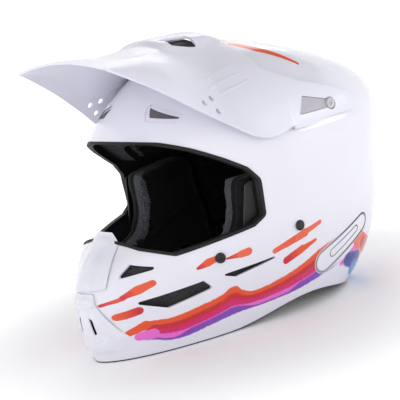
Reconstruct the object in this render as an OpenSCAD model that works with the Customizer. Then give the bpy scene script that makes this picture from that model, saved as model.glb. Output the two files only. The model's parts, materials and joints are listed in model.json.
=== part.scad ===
// Motocross helmet: outer shell, hinged sun peak, liners, pads, strap and fittings.
// +Z up, the face looks along -Y, the wearer's left is +X, the neck edge stands on z = 0.

/* [Helmet] */
// Width across the outer shell
shell_w = 236; // [224:1:248]
// Length from the chin bar to the back of the shell
shell_l = 363; // [345:1:381]
// Height of the shell from the neck edge to the crown
shell_h = 265; // [252:1:278]
// Thickness of the outer shell
wall = 3; // [2.6:0.1:3.4]
// Thickness of the crown impact liner at the sides
liner_t = 26; // [23:1:29]
// Thickness of the fabric comfort liner
comfort_t = 8; // [6:1:9]
// How far the neck edge arches up at the sides
arch_h = 13; // [8:1:16]

/* [Peak] */
// Reach of the peak in front of the pivot screws' ears
peak_l = 147; // [135:1:158]
// Thickness of the peak's moulding
peak_t = 2.8; // [2.4:0.1:3.2]
// Air gap between the shell and the peak's arms
peak_gap = 2.5; // [2.4:0.1:3]
// Diameter of the pivot screws' shank
screw_d = 5; // [4:0.5:6]

/* [Inside] */
// Thickness of each cheek pad
pad_t = 30; // [26:1:32]
// Width of the chin strap's webbing
strap_w = 24; // [20:1:26]
// Thickness of the chin strap's webbing
strap_t = 2; // [1.6:0.1:2.2]
// Wire diameter of the D rings
ring_wire = 3.4; // [3:0.1:3.8]

/* [Hidden] */
gap = 0.5;
sx = shell_w / 236;
sy = shell_l / 363;
sz = shell_h / 265;
columns = 26;
spans = 2;
white = [0.93, 0.92, 0.95];
grey = [0.62, 0.6, 0.63];
dark = [0.1, 0.1, 0.11];

// Rows of the shell's form, from the neck edge to the crown:
// height, half width, front, back, place of the widest point, front and back squareness.
form = [for (r = [
  [0, 82, -174, 112, 30, 1.75, 2.5],
  [18, 93, -177.5, 131, 30, 1.75, 2.5],
  [42, 103, -178.5, 148, 32, 1.75, 2.5],
  [66, 110, -175.5, 159, 35, 1.8, 2.4],
  [90, 115, -160, 169, 38, 1.9, 2.4],
  [112, 117, -139, 174, 40, 2.0, 2.3],
  [140, 118, -130, 178, 46, 2.2, 2.3],
  [168, 116.5, -123, 181, 52, 2.3, 2.4],
  [190, 112, -112, 175, 56, 2.4, 2.4],
  [210, 102, -96, 155, 56, 2.4, 2.4],
  [228, 87, -76, 123, 50, 2.3, 2.3],
  [244, 67, -54, 87, 38, 2.2, 2.2],
  [256, 43, -31, 53, 23, 2.1, 2.1],
  [263, 20, -11, 28, 11, 2.0, 2.0],
  [265, 0, 8, 8, 8, 2.0, 2.0]
]) [r[0] * sz, r[1] * sx, r[2] * sy, r[3] * sy, r[4] * sy, r[5], r[6]]];
rows = len(form);

// A row past either end keeps the curve smooth: straight on below the edge, mirrored over the crown.
function form_row(i) =
  i < 0 ? 2 * form[0] - form[1] :
  i < rows ? form[i] :
  let (p = form[rows - 2], c = form[rows - 1])
  [p[0], -p[1], 2 * c[2] - p[2], 2 * c[3] - p[3], 2 * c[4] - p[4], p[5], p[6]];

function smooth(a, b, c, d, t) =
  0.5 * (2 * b + (c - a) * t + (2 * a - 5 * b + 4 * c - d) * t * t + (3 * b - a - 3 * c + d) * t * t * t);

function ring_at(v) =
  let (i = min(floor(v), rows - 2), t = v - i)
  smooth(form_row(i - 1), form_row(i), form_row(i + 1), form_row(i + 2), t);

// How far the form leans over at a row: 0 for an upright wall, 1 at the crown.
function lean(v) =
  let (a = ring_at(max(v - 0.1, 0)), b = ring_at(min(v + 0.1, rows - 1)),
       dr = (a[1] - b[1]) / 2 + ((a[3] - a[2]) - (b[3] - b[2])) / 4, dz = b[0] - a[0])
  v > rows - 1.05 ? 1 : max(0, dr / norm([dr, dz]));

// A row moved inwards by d = [side, front, back, top].
function inner_ring(v, d) =
  let (r = ring_at(v), n = lean(v), h = sqrt(1 - n * n))
  [r[0] - d[3] * n, max(r[1] - d[0] * h, 0.4), min(r[2] + d[1] * h, r[4] - 0.4),
   max(r[3] - d[2] * h, r[4] + 0.4), r[4], r[5], r[6]];

function ring_point(r, a) =
  let (s = sin(a), c = -cos(a), n = c < 0 ? r[5] : r[6], l = c < 0 ? r[4] - r[2] : r[3] - r[4])
  [r[1] * sign(s) * pow(abs(s), 2 / n), r[4] + l * sign(c) * pow(abs(c), 2 / n), r[0]];

function even(d) = is_list(d) ? d : [d, d, d, d];

// The closed form of the shell, moved inwards by d and carried down by drop at its foot.
module skin(d, drop = 0) {
  e = even(d);
  n = (rows - 1) * spans;
  rings = [for (i = [0:n - 1]) inner_ring(i / spans, e)];
  crown = [0, form[rows - 1][4], form[rows - 1][0] - e[3]];
  foot = [for (j = [0:columns - 1]) let (p = ring_point(rings[0], 360 * j / columns)) [p[0], p[1], p[2] - drop]];
  body = [for (i = [(drop > 0 ? 0 : 1):n - 1], j = [0:columns - 1]) ring_point(rings[i], 360 * j / columns)];
  points = concat(foot, body, [crown]);
  levels = (len(points) - 1) / columns;
  polyhedron(points, concat(
    [[for (j = [0:columns - 1]) j]],
    [for (i = [0:levels - 2], j = [0:columns - 1], k = [0, 1])
      let (a = i * columns + j, b = i * columns + (j + 1) % columns)
      k == 0 ? [a, a + columns, b] : [b, a + columns, b + columns]],
    [for (j = [0:columns - 1])
      let (a = (levels - 1) * columns + j, b = (levels - 1) * columns + (j + 1) % columns)
      [a, levels * columns, b]]));
}

module layer(d1, d2) {
  difference() {
    skin(d1);
    skin(d2, 30);
  }
}

// The row at height z, found by halving.
function level(z, lo = 0, hi = rows - 1, n = 16) =
  let (m = (lo + hi) / 2) n == 0 ? m : ring_at(m)[0] < z ? level(z, m, hi, n - 1) : level(z, lo, m, n - 1);

// Half width of the shell's outside at a place (y, z).
function shell_x(y, z) =
  let (r = ring_at(level(z)), n = y < r[4] ? r[5] : r[6], l = y < r[4] ? r[4] - r[2] : r[3] - r[4])
  r[1] * pow(max(0, 1 - pow(min(1, abs(y - r[4]) / l), n)), 1 / n);

module both_sides() {
  children();
  mirror([1, 0, 0]) children();
}

// A rounded side-view outline (y, z) carried across x. The outline is seen whole from its centre.
module side_block(centre, points, r, x0 = -150, x1 = 150) {
  for (i = [0:len(points) - 1])
    hull()
      for (p = [centre, points[i], points[(i + 1) % len(points)]])
        translate([x0, p[0] * sy, p[1] * sz]) rotate([0, 90, 0]) cylinder(h = x1 - x0, r = r, $fn = 12);
}

// A rounded plan-view outline (x, y) carried up z.
module top_block(centre, points, r, z0, z1) {
  for (i = [0:len(points) - 1])
    hull()
      for (p = [centre, points[i], points[(i + 1) % len(points)]])
        translate([p[0] * sx, p[1] * sy, z0 * sz]) cylinder(h = (z1 - z0) * sz, r = r, $fn = 12);
}

// A rounded front-view outline (x, z) carried along y.
module front_block(centre, points, r, y0, y1) {
  for (i = [0:len(points) - 1])
    hull()
      for (p = [centre, points[i], points[(i + 1) % len(points)]])
        translate([p[0] * sx, y1 * sy, p[1] * sz]) rotate([90, 0, 0]) cylinder(h = (y1 - y0) * sy, r = r, $fn = 12);
}

// ---- openings in the shell ----
port_round = 6;
port = [[-37, 110], [-37, 139], [-45, 150], [-63, 163], [-84, 177], [-100, 186], [-118, 191], [-200, 196],
        [-200, 120], [-142, 117], [-131, 105], [-113, 96.5], [-78, 101], [-46, 105]];
long_vent = [[-147, 54], [-126, 45.5], [-90, 53.5], [-96, 60]];
thin_vent = [[-75.5, 61.5], [-66, 58], [-27, 64]];
upper_vent = [[41, 88], [35, 80], [57, 83.5]];
brow_vent = [[33, 217.5], [38, 213.5], [61, 209.5]];
crown_vent = [[22, -36], [30, -36], [30, -16], [22, -16]];
rear_vent = [[18, 138], [44, 132], [42, 124], [20, 126]];
mouth_shape = [[-12, 54], [-15, 47], [-16, 36], [-12, 24], [12, 24], [16, 36], [15, 47], [12, 54]];

module eye_port(grow = 0) {
  side_block([-105, 140], port, port_round + grow);
}

// The neck edge arches up between the chin and the nape.
arch_y = 16;
arch_reach = 88;
function arch(y) = abs(y - arch_y) < arch_reach ? arch_h * pow(cos(90 * (y - arch_y) / arch_reach), 2) : 0;
module under_edge(rise) {
  stops = concat([-230], [for (y = [-72:16:104]) y], [230]);
  for (i = [0:len(stops) - 2])
    hull()
      for (y = [stops[i], stops[i + 1]])
        translate([-150, y * sy, -60]) cube([300, 0.01, 60 + rise + arch(y)]);
}

// Left-hand vent openings; grow widens each one for the insert behind it.
module chin_vents(grow = 0) {
  side_block([-112, 53], long_vent, 1.5 + grow, 30, 130);
  side_block([-62, 60.5], thin_vent, 1 + grow, 70, 130);
  front_block([42, 83.5], upper_vent, 1.5 + grow, -190, -110);
}
module brow_vents(grow = 0) {
  front_block([42, 214], brow_vent, 1.5 + grow, -130, -40);
}
module crown_vents(grow = 0) {
  top_block([26, -26], crown_vent, 3 + grow, 225, 290);
}
module rear_vents(grow = 0) {
  front_block([31, 130], rear_vent, 3 + grow, 120, 200);
}
module mouth_vent(grow = 0) {
  front_block([0, 38], mouth_shape, 2 + grow, -230, -120);
}

// ---- fixings through the shell, as (y, z) places on its side ----
cheek_spot = [-79, 79];
strap_spot = [2, 87];
pivot = [62, 189];
dot_r = 5;
cheek_x = shell_x(cheek_spot[0] * sy, cheek_spot[1] * sz);
strap_x = shell_x(strap_spot[0] * sy, strap_spot[1] * sz);
pivot_x = shell_x(pivot[0] * sy, pivot[1] * sz);
// How far the side turns towards the front at the cheek screws.
cheek_turn = 35;

module at_spot(spot, x, turn = 0) {
  translate([x, spot[0] * sy, spot[1] * sz]) rotate([0, 90, -turn]) children();
}

module outer_shell() {
  color(white) difference() {
    layer(0, wall);
    under_edge(3);
    eye_port();
    mouth_vent();
    both_sides() {
      chin_vents();
      brow_vents();
      crown_vents();
      rear_vents();
      at_spot(cheek_spot, cheek_x, cheek_turn) translate([0, 0, -20]) cylinder(h = 40, r = 2.2, $fn = 24);
      at_spot(strap_spot, strap_x) translate([0, 0, -20]) cylinder(h = 40, r = 2.7, $fn = 24);
      at_spot(pivot, pivot_x) {
        translate([0, 0, -20]) cylinder(h = 40, r = screw_d / 2 + 0.3, $fn = 24);
        translate([0, 0, -washer_t / 2 - 0.2]) cylinder(h = 20, r = washer_r + 0.4, $fn = 24);
      }
    }
  }
}

// ---- edge trims ----
trim_lip = 1.4;
module neck_edge_trim() {
  color(dark) difference() {
    intersection() {
      layer(-trim_lip, wall + trim_lip);
      difference() {
        under_edge(4.8);
        under_edge(0);
      }
    }
    difference() {
      layer(-0.3, wall + 0.3);
      under_edge(2.6);
    }
  }
}

module eye_port_trim() {
  color(dark) intersection() {
    layer(-1, wall + 1.5);
    difference() {
      eye_port(-0.3);
      eye_port(-2.8);
    }
    translate([-150, -136 * sy, 0]) cube([300, 200, 300]);
  }
}

// ---- crown liners ----
liner_out = wall + gap;
liner_in = liner_out + liner_t;
liner_inner = [liner_in, liner_in + 6, liner_in + 6, liner_in + 4];
comfort_outer = [for (d = liner_inner) d + gap];
comfort_inner = [for (d = comfort_outer) d + comfort_t];

// The room below the crown liners, for the cheek pads, the chin bar and the neck roll.
module below_liner(grow = 0) {
  side_block([-20, 100], [[-230, 152], [38, 152], [46, 140], [48, 70], [40, -20], [-230, -20]], 4 + grow);
  side_block([120, 20], [[30, 62], [230, 62], [230, -20], [30, -20]], 4 + grow);
}

module impact_liner() {
  color([0.16, 0.16, 0.17]) difference() {
    layer(liner_out, liner_inner);
    below_liner();
    eye_port(5);
    both_sides() {
      at_spot(pivot, pivot_x) translate([0, 0, -nut_in - 11.2]) cylinder(h = nut_in + 24, r = nut_r + 0.8, $fn = 24);
      rear_vents(2.5);
      crown_vents(2.5);
      brow_vents(2.5);
    }
  }
}

module comfort_liner() {
  color([0.13, 0.13, 0.14]) difference() {
    layer(comfort_outer, comfort_inner);
    below_liner(3);
    eye_port(12);
  }
}

chin_foam_t = 18;
module chin_foam() {
  color([0.16, 0.16, 0.17]) difference() {
    intersection() {
      layer(wall + 3, wall + 3 + chin_foam_t);
      side_block([-150, 50], [[-200, 78], [-150, 80], [-136, 78], [-114, 74], [-110, 26], [-200, 26]], 4);
    }
    mouth_vent(2);
    both_sides() chin_vents(3);
  }
}

// ---- cheek pads, plates and neck roll ----
plate_out = wall + 7;
plate_t = 1.8;
pad_out = plate_out + plate_t + 1.2;
pad_shape = [[-36, 142], [28, 142], [36, 134], [38, 76], [30, 30], [-60, 25], [-92, 28], [-94, 70], [-78, 80], [-46, 90]];
plate_shape = [[-34, 134], [24, 134], [30, 126], [32, 78], [24, 38], [-56, 32], [-86, 36], [-88, 66], [-74, 74], [-44, 84]];
slot_z = 47;

// A way through for the strap, and room for its anchor.
module strap_way(more) {
  translate([30, strap_spot[0] * sy - strap_w / 2 - more, slot_z * sz - 5 - more])
    cube([100, strap_w + 2 * more, 12 + 2 * more]);
  at_spot(strap_spot, strap_x) translate([0, 0, -14]) cylinder(h = 20, r = anchor_r + 1 + more, $fn = 32);
}

module cheek_pad() {
  color([0.17, 0.17, 0.18]) difference() {
    intersection() {
      layer(pad_out, pad_out + pad_t);
      side_block([-20, 80], pad_shape, 5, 20, 140);
    }
    strap_way(1);
  }
}

module cheek_plate() {
  color(dark) difference() {
    intersection() {
      layer(plate_out, plate_out + plate_t);
      side_block([-20, 80], plate_shape, 5, 20, 140);
    }
    strap_way(0.5);
    at_spot(cheek_spot, cheek_x, cheek_turn) translate([0, 0, -20]) cylinder(h = 40, r = 2.2, $fn = 24);
  }
}
module cheek_pad_left() { cheek_pad(); }
module cheek_pad_right() { mirror([1, 0, 0]) cheek_pad(); }
module cheek_plate_left() { cheek_plate(); }
module cheek_plate_right() { mirror([1, 0, 0]) cheek_plate(); }

module neck_roll() {
  color([0.15, 0.15, 0.16]) intersection() {
    layer(wall + 1, wall + 20);
    side_block([120, 40], [[64, 26], [64, 40], [64, 55], [100, 55], [200, 55], [200, 30], [200, 15], [90, 15]], 5);
  }
}

// ---- nose guard and mouth vent, proud of the chin bar ----
guard_shape = [[-22, 74], [-21, 90], [-18, 104], [-9, 110], [9, 110], [18, 104], [21, 90], [22, 74]];
cover_shape = [[-12, 66], [-14, 54], [-34, 22], [-24, 11], [24, 11], [34, 22], [14, 54], [12, 66]];
guard_t = 3;

module nose_guard() {
  color(white) intersection() {
    layer(-guard_t - 0.4, -0.4);
    front_block([0, 90], guard_shape, 3, -230, -100);
  }
}

module mouth_vent_cover() {
  color(white) difference() {
    intersection() {
      layer(-guard_t - 0.4, -0.4);
      front_block([0, 40], cover_shape, 2, -230, -100);
    }
    front_block([0, 60], [[-8, 61], [8, 61], [8, 59], [-8, 59]], 1.2, -230, -100);
    both_sides() front_block([9, 36], [[6, 46], [12, 42], [10, 28], [7, 30]], 1.2, -230, -100);
  }
}

module mouth_vent_mesh() {
  color(dark) intersection() {
    layer(wall + 0.5, wall + 2);
    front_block([0, 38], mouth_shape, 5, -230, -120);
  }
}

// ---- vent inserts ----
module chin_vent_meshes() {
  color(dark) intersection() {
    layer(wall + 0.4, wall + 1.6);
    both_sides() chin_vents(2);
  }
}

module brow_vent_inserts() {
  color(grey) intersection() {
    layer(0.8, 2.4);
    union() {
      front_block([42, 214], brow_vent, 1.1, -130, -40);
      front_block([-42, 214], [for (p = brow_vent) [-p[0], p[1]]], 1.1, -130, -40);
      front_block([42, 214], brow_vent, 1, -130, -40);
    }
  }
}

module crown_vent_inserts() {
  color(dark) intersection() {
    layer(wall + 0.4, wall + 1.6);
    both_sides() crown_vents(2);
  }
}

module rear_vent_grilles() {
  color(dark) intersection() {
    layer(0.6, 2.6);
    both_sides() rear_vents(-0.4);
  }
}

// ---- cheek screws, strap and its fittings ----
anchor_r = 7;
loop_r = ring_wire / 2 + 1.6;
loop_z = 38;
ring_outer_x = 41;
ring_inner_x = 34;

module cheek_screws() {
  color(dark) both_sides() at_spot(cheek_spot, cheek_x, cheek_turn) {
    translate([0, 0, 1]) cylinder(h = 1.8, r1 = dot_r, r2 = dot_r - 0.8, $fn = 32);
    translate([0, 0, -9]) cylinder(h = 10, r = 2, $fn = 32);
  }
}

module strap_rivets() {
  color(dark) both_sides() at_spot(strap_spot, strap_x) {
    translate([0, 0, 1]) cylinder(h = 1.8, r1 = dot_r, r2 = dot_r - 0.8, $fn = 32);
    translate([0, 0, -11]) cylinder(h = 12, r = 2.4, $fn = 32);
  }
}

module strap_anchors() {
  color("silver") both_sides() at_spot(strap_spot, anchor_x)
    difference() {
      cylinder(h = 1.2, r = anchor_r, $fn = 32);
      translate([0, 0, -1]) cylinder(h = 4, r = 2.5, $fn = 32);
    }
}

// The strap lies clear of the wall's curve across its own width.
function strap_on_wall(z) =
  let (y = strap_spot[0] * sy, x = shell_x(y, z * sz),
       curve = x - min(shell_x(y - strap_w / 2, z * sz), shell_x(y + strap_w / 2, z * sz)))
  [x - wall - 0.6 - 1.8 * curve, z * sz];
anchor_x = strap_on_wall(strap_spot[1])[0] - strap_t / 2 - 1.4
  - anchor_r * (strap_on_wall(90)[0] - strap_on_wall(80)[0]) / (10 * sz);

// Webbing of the strap's width laid through points (x, z).
module webbing(points) {
  for (i = [0:len(points) - 2])
    hull()
      for (p = [points[i], points[i + 1]])
        translate([p[0], strap_spot[0] * sy + strap_w / 2, p[1]]) rotate([90, 0, 0])
          cylinder(h = strap_w, r = strap_t / 2, $fn = 12);
}

wall_run = [for (z = [99, 90, 80, 70, 60, 53]) strap_on_wall(z)];
slot_in = [wall_run[5][0] - 6, slot_z * sz];

module chin_strap_left() {
  color(dark) difference() {
    union() {
      webbing(concat(wall_run, [slot_in, [60, slot_z * sz], [47, 45 * sz], [ring_outer_x - 1, loop_z + loop_r - 1]]));
      hull()
        for (x = [ring_outer_x, ring_inner_x])
          translate([x, strap_spot[0] * sy + strap_w / 2, loop_z]) rotate([90, 0, 0])
            cylinder(h = strap_w, r = loop_r, $fn = 32);
    }
    for (x = [ring_outer_x, ring_inner_x])
      translate([x, strap_spot[0] * sy + 30, loop_z]) rotate([90, 0, 0])
        cylinder(h = 60, r = ring_wire / 2 + 0.1, $fn = 48);
    at_spot(strap_spot, strap_x) translate([0, 0, -20]) cylinder(h = 30, r = 2.6, $fn = 24);
  }
}

tail_x = 46;
tail_z = 12;
snap_z = 20;
module chin_strap_right() {
  color(dark) mirror([1, 0, 0]) difference() {
    webbing(concat(wall_run, [slot_in, [60, slot_z * sz], [51, 44 * sz], [tail_x, 36], [tail_x, tail_z]]));
    at_spot(strap_spot, strap_x) translate([0, 0, -20]) cylinder(h = 30, r = 2.6, $fn = 24);
    translate([tail_x - 10, strap_spot[0] * sy, snap_z]) rotate([0, 90, 0]) cylinder(h = 20, r = 1.7, $fn = 24);
  }
}

module strap_snap() {
  color("silver") translate([-tail_x, strap_spot[0] * sy, snap_z]) rotate([0, 90, 0]) {
    translate([0, 0, strap_t / 2 + 0.2]) cylinder(h = 1.6, r1 = 6, r2 = 5, $fn = 32);
    translate([0, 0, -strap_t / 2 - 1.8]) cylinder(h = 1.6, r = 5, $fn = 32);
    translate([0, 0, -strap_t / 2 - 1]) cylinder(h = strap_t + 2, r = 1.5, $fn = 32);
  }
}

// A D ring hanging from its straight bar.
module d_ring(x) {
  bend = strap_w / 2 + 1.5 + ring_wire / 2;
  color("silver") translate([x, strap_spot[0] * sy, loop_z]) {
    translate([0, bend, 0]) rotate([90, 0, 0]) cylinder(h = 2 * bend, r = ring_wire / 2, $fn = 32);
    rotate([0, 90, 0]) rotate([0, 0, -90])
      rotate_extrude(angle = 180, $fn = 48) translate([bend, 0]) circle(r = ring_wire / 2, $fn = 24);
    for (s = [-1, 1])
      translate([0, s * bend, 0]) sphere(r = ring_wire / 2, $fn = 24);
  }
}
module d_ring_inner() { d_ring(ring_inner_x); }
module d_ring_outer() { d_ring(ring_outer_x); }

// ---- peak ----
// Rows of the peak, front to back: y, half width and height of the crease,
// half width and height of the lower edge, height of the ridge.
peak_form = [for (r = [
  [-147, 66, 272, 72, 271, 279],
  [-107, 52, 272, 84, 243, 276],
  [-75, 40, 271, 95, 217, 275],
  [-52, 32, 270, 106, 198, 274],
  [-28, 29, 269, 115, 180, 273],
  [-8, 31, 267, 117, 176, 272],
  [12, 33, 265, 117, 180, 270]
]) [r[0] * (r[0] < -28 ? (28 + (-r[0] - 28) * (peak_l - 28) / 119) / -r[0] : 1) * sy,
    r[1] * sx, r[2] * sz, r[3] * sx, r[4] * sz, r[5] * sz]];
peak_cols = 20;
peak_spans = 2;
deck_part = 0.4;
arm_shape = [[-4, 182], [4, 180], [52, 182], [86, 181], [92, 186], [72, 198], [38, 213], [12, 233], [-4, 236]];
insert_shape = [[32, 199], [27, 190.5], [62, 188.5], [64, 190.5]];

function peak_row(i) =
  let (n = len(peak_form))
  i < 0 ? 2 * peak_form[0] - peak_form[1] : i < n ? peak_form[i] : 2 * peak_form[n - 1] - peak_form[n - 2];
function peak_at(v) =
  let (i = min(floor(v), len(peak_form) - 2))
  smooth(peak_row(i - 1), peak_row(i), peak_row(i + 1), peak_row(i + 2), v - i);
function blend_max(a, b) = (a + b + sqrt((a - b) * (a - b) + 16)) / 2;

// A point (x, z) on a row's upper face; u runs from -1 at one lower edge to 1 at the other.
function peak_xz(r, u) =
  let (a = abs(u), deck = a < deck_part, k = deck ? a / deck_part : (a - deck_part) / (1 - deck_part),
       swell = deck ? 0 : min(8, 0.12 * norm([r[3] - r[1], r[4] - r[2]])) * sin(180 * k),
       x = (deck ? r[1] * k : r[1] + (r[3] - r[1]) * k) + 0.6 * swell,
       z = (deck ? r[5] + (r[2] - r[5]) * k * k : r[2] + (r[4] - r[2]) * k) + 0.5 * swell,
       v = level(z), n = min(0.85, lean(v)),
       clear = z < form[rows - 1][0] ? shell_x(r[0], z) + (peak_gap + peak_t + 0.2) / sqrt(1 - n * n) : 0)
  [sign(u) * (deck ? x : blend_max(x, clear)), z];
function peak_under(r, u) =
  let (a = peak_xz(r, max(-1, u - 0.02)), b = peak_xz(r, min(1, u + 0.02)), t = (b - a) / norm(b - a))
  peak_xz(r, u) + peak_t * [t[1], -t[0]];

module peak_moulding() {
  n = (len(peak_form) - 1) * peak_spans;
  c = peak_cols + 1;
  faces_at = function (o, flip) [for (i = [0:n - 1], j = [0:c - 2], k = [0, 1])
    let (p = o + i * c + j, q = k == 0 ? [p, p + c, p + 1] : [p + 1, p + c, p + c + 1])
    flip ? [q[2], q[1], q[0]] : q];
  upper = [for (i = [0:n]) let (r = peak_at(i / peak_spans)) for (j = [0:peak_cols])
    let (p = peak_xz(r, 2 * j / peak_cols - 1)) [p[0], r[0], p[1]]];
  under = [for (i = [0:n]) let (r = peak_at(i / peak_spans)) for (j = [0:peak_cols])
    let (p = peak_under(r, 2 * j / peak_cols - 1)) [p[0], r[0], p[1]]];
  m = (n + 1) * c;
  rim = concat([for (j = [0:c - 1]) j], [for (i = [1:n]) i * c + c - 1],
    [for (j = [c - 2:-1:0]) n * c + j], [for (i = [n - 1:-1:1]) i * c]);
  k = len(rim);
  polyhedron(concat(upper, under), concat(
    faces_at(0, false), faces_at(m, true),
    [for (i = [0:k - 1], h = [0, 1])
      let (a = rim[i], b = rim[(i + 1) % k]) h == 0 ? [a, b, a + m] : [b, b + m, a + m]]));
}

peak_vent = [[23, -42], [31, -42], [31, -22], [23, -22]];
wing_holes = [[-64, 220], [-53, 221.5], [-55, 210]];

module peak() {
  color(white) difference() {
    union() {
      peak_moulding();
      both_sides() intersection() {
        layer(-peak_gap - peak_t, -peak_gap);
        side_block([30, 200], arm_shape, 4, 20, 150);
      }
    }
    skin(-peak_gap);
    both_sides() {
      intersection() {
        layer(-peak_gap - peak_t - 1, -peak_gap - peak_t + 1.5);
        side_block([40, 192], insert_shape, 5.5, 20, 150);
      }
      at_spot(pivot, pivot_x) {
        translate([0, 0, -20]) cylinder(h = 60, r = bush_r + 0.1, $fn = 32);
        translate([0, 0, -20]) cylinder(h = 20 + washer_t / 2 + 0.3, r = washer_r + 0.6, $fn = 32);
        translate([0, 0, bush_end + 0.1]) cylinder(h = 20, r = head_r + 0.5, $fn = 32);
      }
      top_block([27, -32], peak_vent, 3, 250, 300);
      for (p = wing_holes)
        translate([60, p[0] * sy, p[1] * sz]) rotate([0, 90, 0]) cylinder(h = 80, r = 2.6, $fn = 20);
    }
  }
}

module peak_arm_inserts() {
  color(grey) both_sides() difference() {
    intersection() {
      layer(-peak_gap - peak_t + 0.5, -peak_gap - peak_t + 1.4);
      side_block([40, 192], insert_shape, 5.2, 20, 150);
    }
    at_spot(pivot, pivot_x) translate([0, 0, -20]) cylinder(h = 60, r = head_r + 0.5, $fn = 32);
  }
}

module peak_scoop_meshes() {
  color(dark) both_sides() top_block([27, -32], peak_vent, 4, 259.6, 260.6);
}

// ---- peak pivots, measured outwards from the shell's face ----
washer_t = 3;
washer_r = 5;
bush_r = 3.6;
bush_end = 4.1;
head_r = 5;
nut_r = 7;
// How far in the nut's flange lies, past the wall's lean.
nut_in = 1.3 * wall + 1.25 * (pivot_x - shell_x(pivot[0] * sy, pivot[1] * sz + nut_r));

module at_pivots() {
  both_sides() at_spot(pivot, pivot_x) children();
}

module peak_bushings() {
  color("silver") at_pivots() difference() {
    translate([0, 0, washer_t / 2 + 0.4]) cylinder(h = bush_end - washer_t / 2 - 0.4, r = bush_r, $fn = 48);
    cylinder(h = 10, r = screw_d / 2 + 0.05, $fn = 48);
  }
}

module peak_screws() {
  color("silver") at_pivots() difference() {
    union() {
      translate([0, 0, -nut_in - 7.2]) cylinder(h = nut_in + 8 + bush_end, r = screw_d / 2, $fn = 48);
      translate([0, 0, bush_end + 0.3]) cylinder(h = 2, r = head_r, $fn = 48);
    }
    translate([0, 0, bush_end + 1.1]) cylinder(h = 5, r = 1.7, $fn = 6);
  }
}

module peak_washers() {
  color(dark) at_pivots() difference() {
    translate([0, 0, -washer_t / 2]) cylinder(h = washer_t, r = washer_r, $fn = 48);
    translate([0, 0, -5]) cylinder(h = 10, r = screw_d / 2 + 0.15, $fn = 48);
  }
}

module peak_nuts() {
  color("silver") at_pivots() difference() {
    union() {
      translate([0, 0, -nut_in - 1.8]) cylinder(h = 1.8, r = nut_r, $fn = 48);
      translate([0, 0, -nut_in - 8.7]) cylinder(h = 8, r = 4, $fn = 48);
    }
    translate([0, 0, -20]) cylinder(h = 20, r = screw_d / 2 + 0.05, $fn = 48);
  }
}

outer_shell();
neck_edge_trim();
eye_port_trim();
impact_liner();
comfort_liner();
chin_foam();
cheek_plate_left();
cheek_plate_right();
cheek_pad_left();
cheek_pad_right();
cheek_screws();
neck_roll();
nose_guard();
mouth_vent_cover();
mouth_vent_mesh();
chin_vent_meshes();
brow_vent_inserts();
crown_vent_inserts();
rear_vent_grilles();
strap_anchors();
strap_rivets();
chin_strap_left();
chin_strap_right();
strap_snap();
d_ring_inner();
d_ring_outer();
peak();
peak_arm_inserts();
peak_scoop_meshes();
peak_bushings();
peak_screws();
peak_washers();
peak_nuts();
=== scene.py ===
"""Motocross helmet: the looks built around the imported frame. Face towards -Y, wearer's left +X, metres."""
import json
import math

import bmesh
import bpy
import numpy as np
from mathutils import Matrix, Vector


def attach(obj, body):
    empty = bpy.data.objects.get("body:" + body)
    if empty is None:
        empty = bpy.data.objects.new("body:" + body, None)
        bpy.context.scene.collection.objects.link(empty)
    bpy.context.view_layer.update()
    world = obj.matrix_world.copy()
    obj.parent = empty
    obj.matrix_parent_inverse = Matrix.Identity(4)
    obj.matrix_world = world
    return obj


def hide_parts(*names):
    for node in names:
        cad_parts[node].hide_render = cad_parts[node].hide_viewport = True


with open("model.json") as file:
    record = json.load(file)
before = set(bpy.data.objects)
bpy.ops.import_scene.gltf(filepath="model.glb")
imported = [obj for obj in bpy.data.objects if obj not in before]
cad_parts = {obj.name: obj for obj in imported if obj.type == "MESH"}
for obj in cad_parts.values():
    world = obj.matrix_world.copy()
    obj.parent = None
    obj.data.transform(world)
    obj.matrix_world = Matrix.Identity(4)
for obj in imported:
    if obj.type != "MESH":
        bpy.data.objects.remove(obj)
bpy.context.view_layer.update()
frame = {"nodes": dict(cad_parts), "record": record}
MM = 0.001
scene = bpy.context.scene


# ---------------------------------------------------------------- camera, light and floor
def make_camera():
    data = bpy.data.cameras.new("camera")
    camera = bpy.data.objects.new("camera", data)
    scene.collection.objects.link(camera)
    right = Vector((0.63026668, 0.75239391, -0.19148711))
    up = Vector((-0.04720806, 0.2833247, 0.95786143))
    back = Vector((0.77494214, -0.59466841, 0.21408917))
    turn = Matrix((right, up, back)).transposed().to_4x4()
    camera.matrix_world = Matrix.Translation((1.11046742, -0.85429962, 0.39837886)) @ turn
    data.lens = 130.61
    data.shift_x = -0.0479
    data.shift_y = 0.0399
    scene.camera = camera


def area_light(name, place, aim, size, power, tint=(1, 1, 1)):
    data = bpy.data.lights.new(name, "AREA")
    data.shape = "RECTANGLE"
    data.size, data.size_y = size
    data.energy = power
    data.color = tint
    lamp = bpy.data.objects.new(name, data)
    scene.collection.objects.link(lamp)
    lamp.location = place
    lamp.rotation_mode = "QUATERNION"
    lamp.rotation_quaternion = (Vector(aim) - Vector(place)).to_track_quat("-Z", "Y")


# The studio floor's section: flat, then curved up into a wall; (radius, height) in metres.
FLOOR_SECTION = [(2.0, 0.0), (4.0, 0.0), (5.0, 0.12), (6.0, 0.5), (7.0, 1.3), (7.8, 2.6), (8.2, 4.2),
                 (8.3, 6.0)]
FLOOR_TURNS = 96
# Painted light: the paper glows softly, and glows less close round the object, a painted shade that darkens
# the floor there so that its shadow shows.
GLOW_START, GLOW_END = 0.14, 0.4
GLOW_NEAR, GLOW_FAR = 0.04, 0.49


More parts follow.
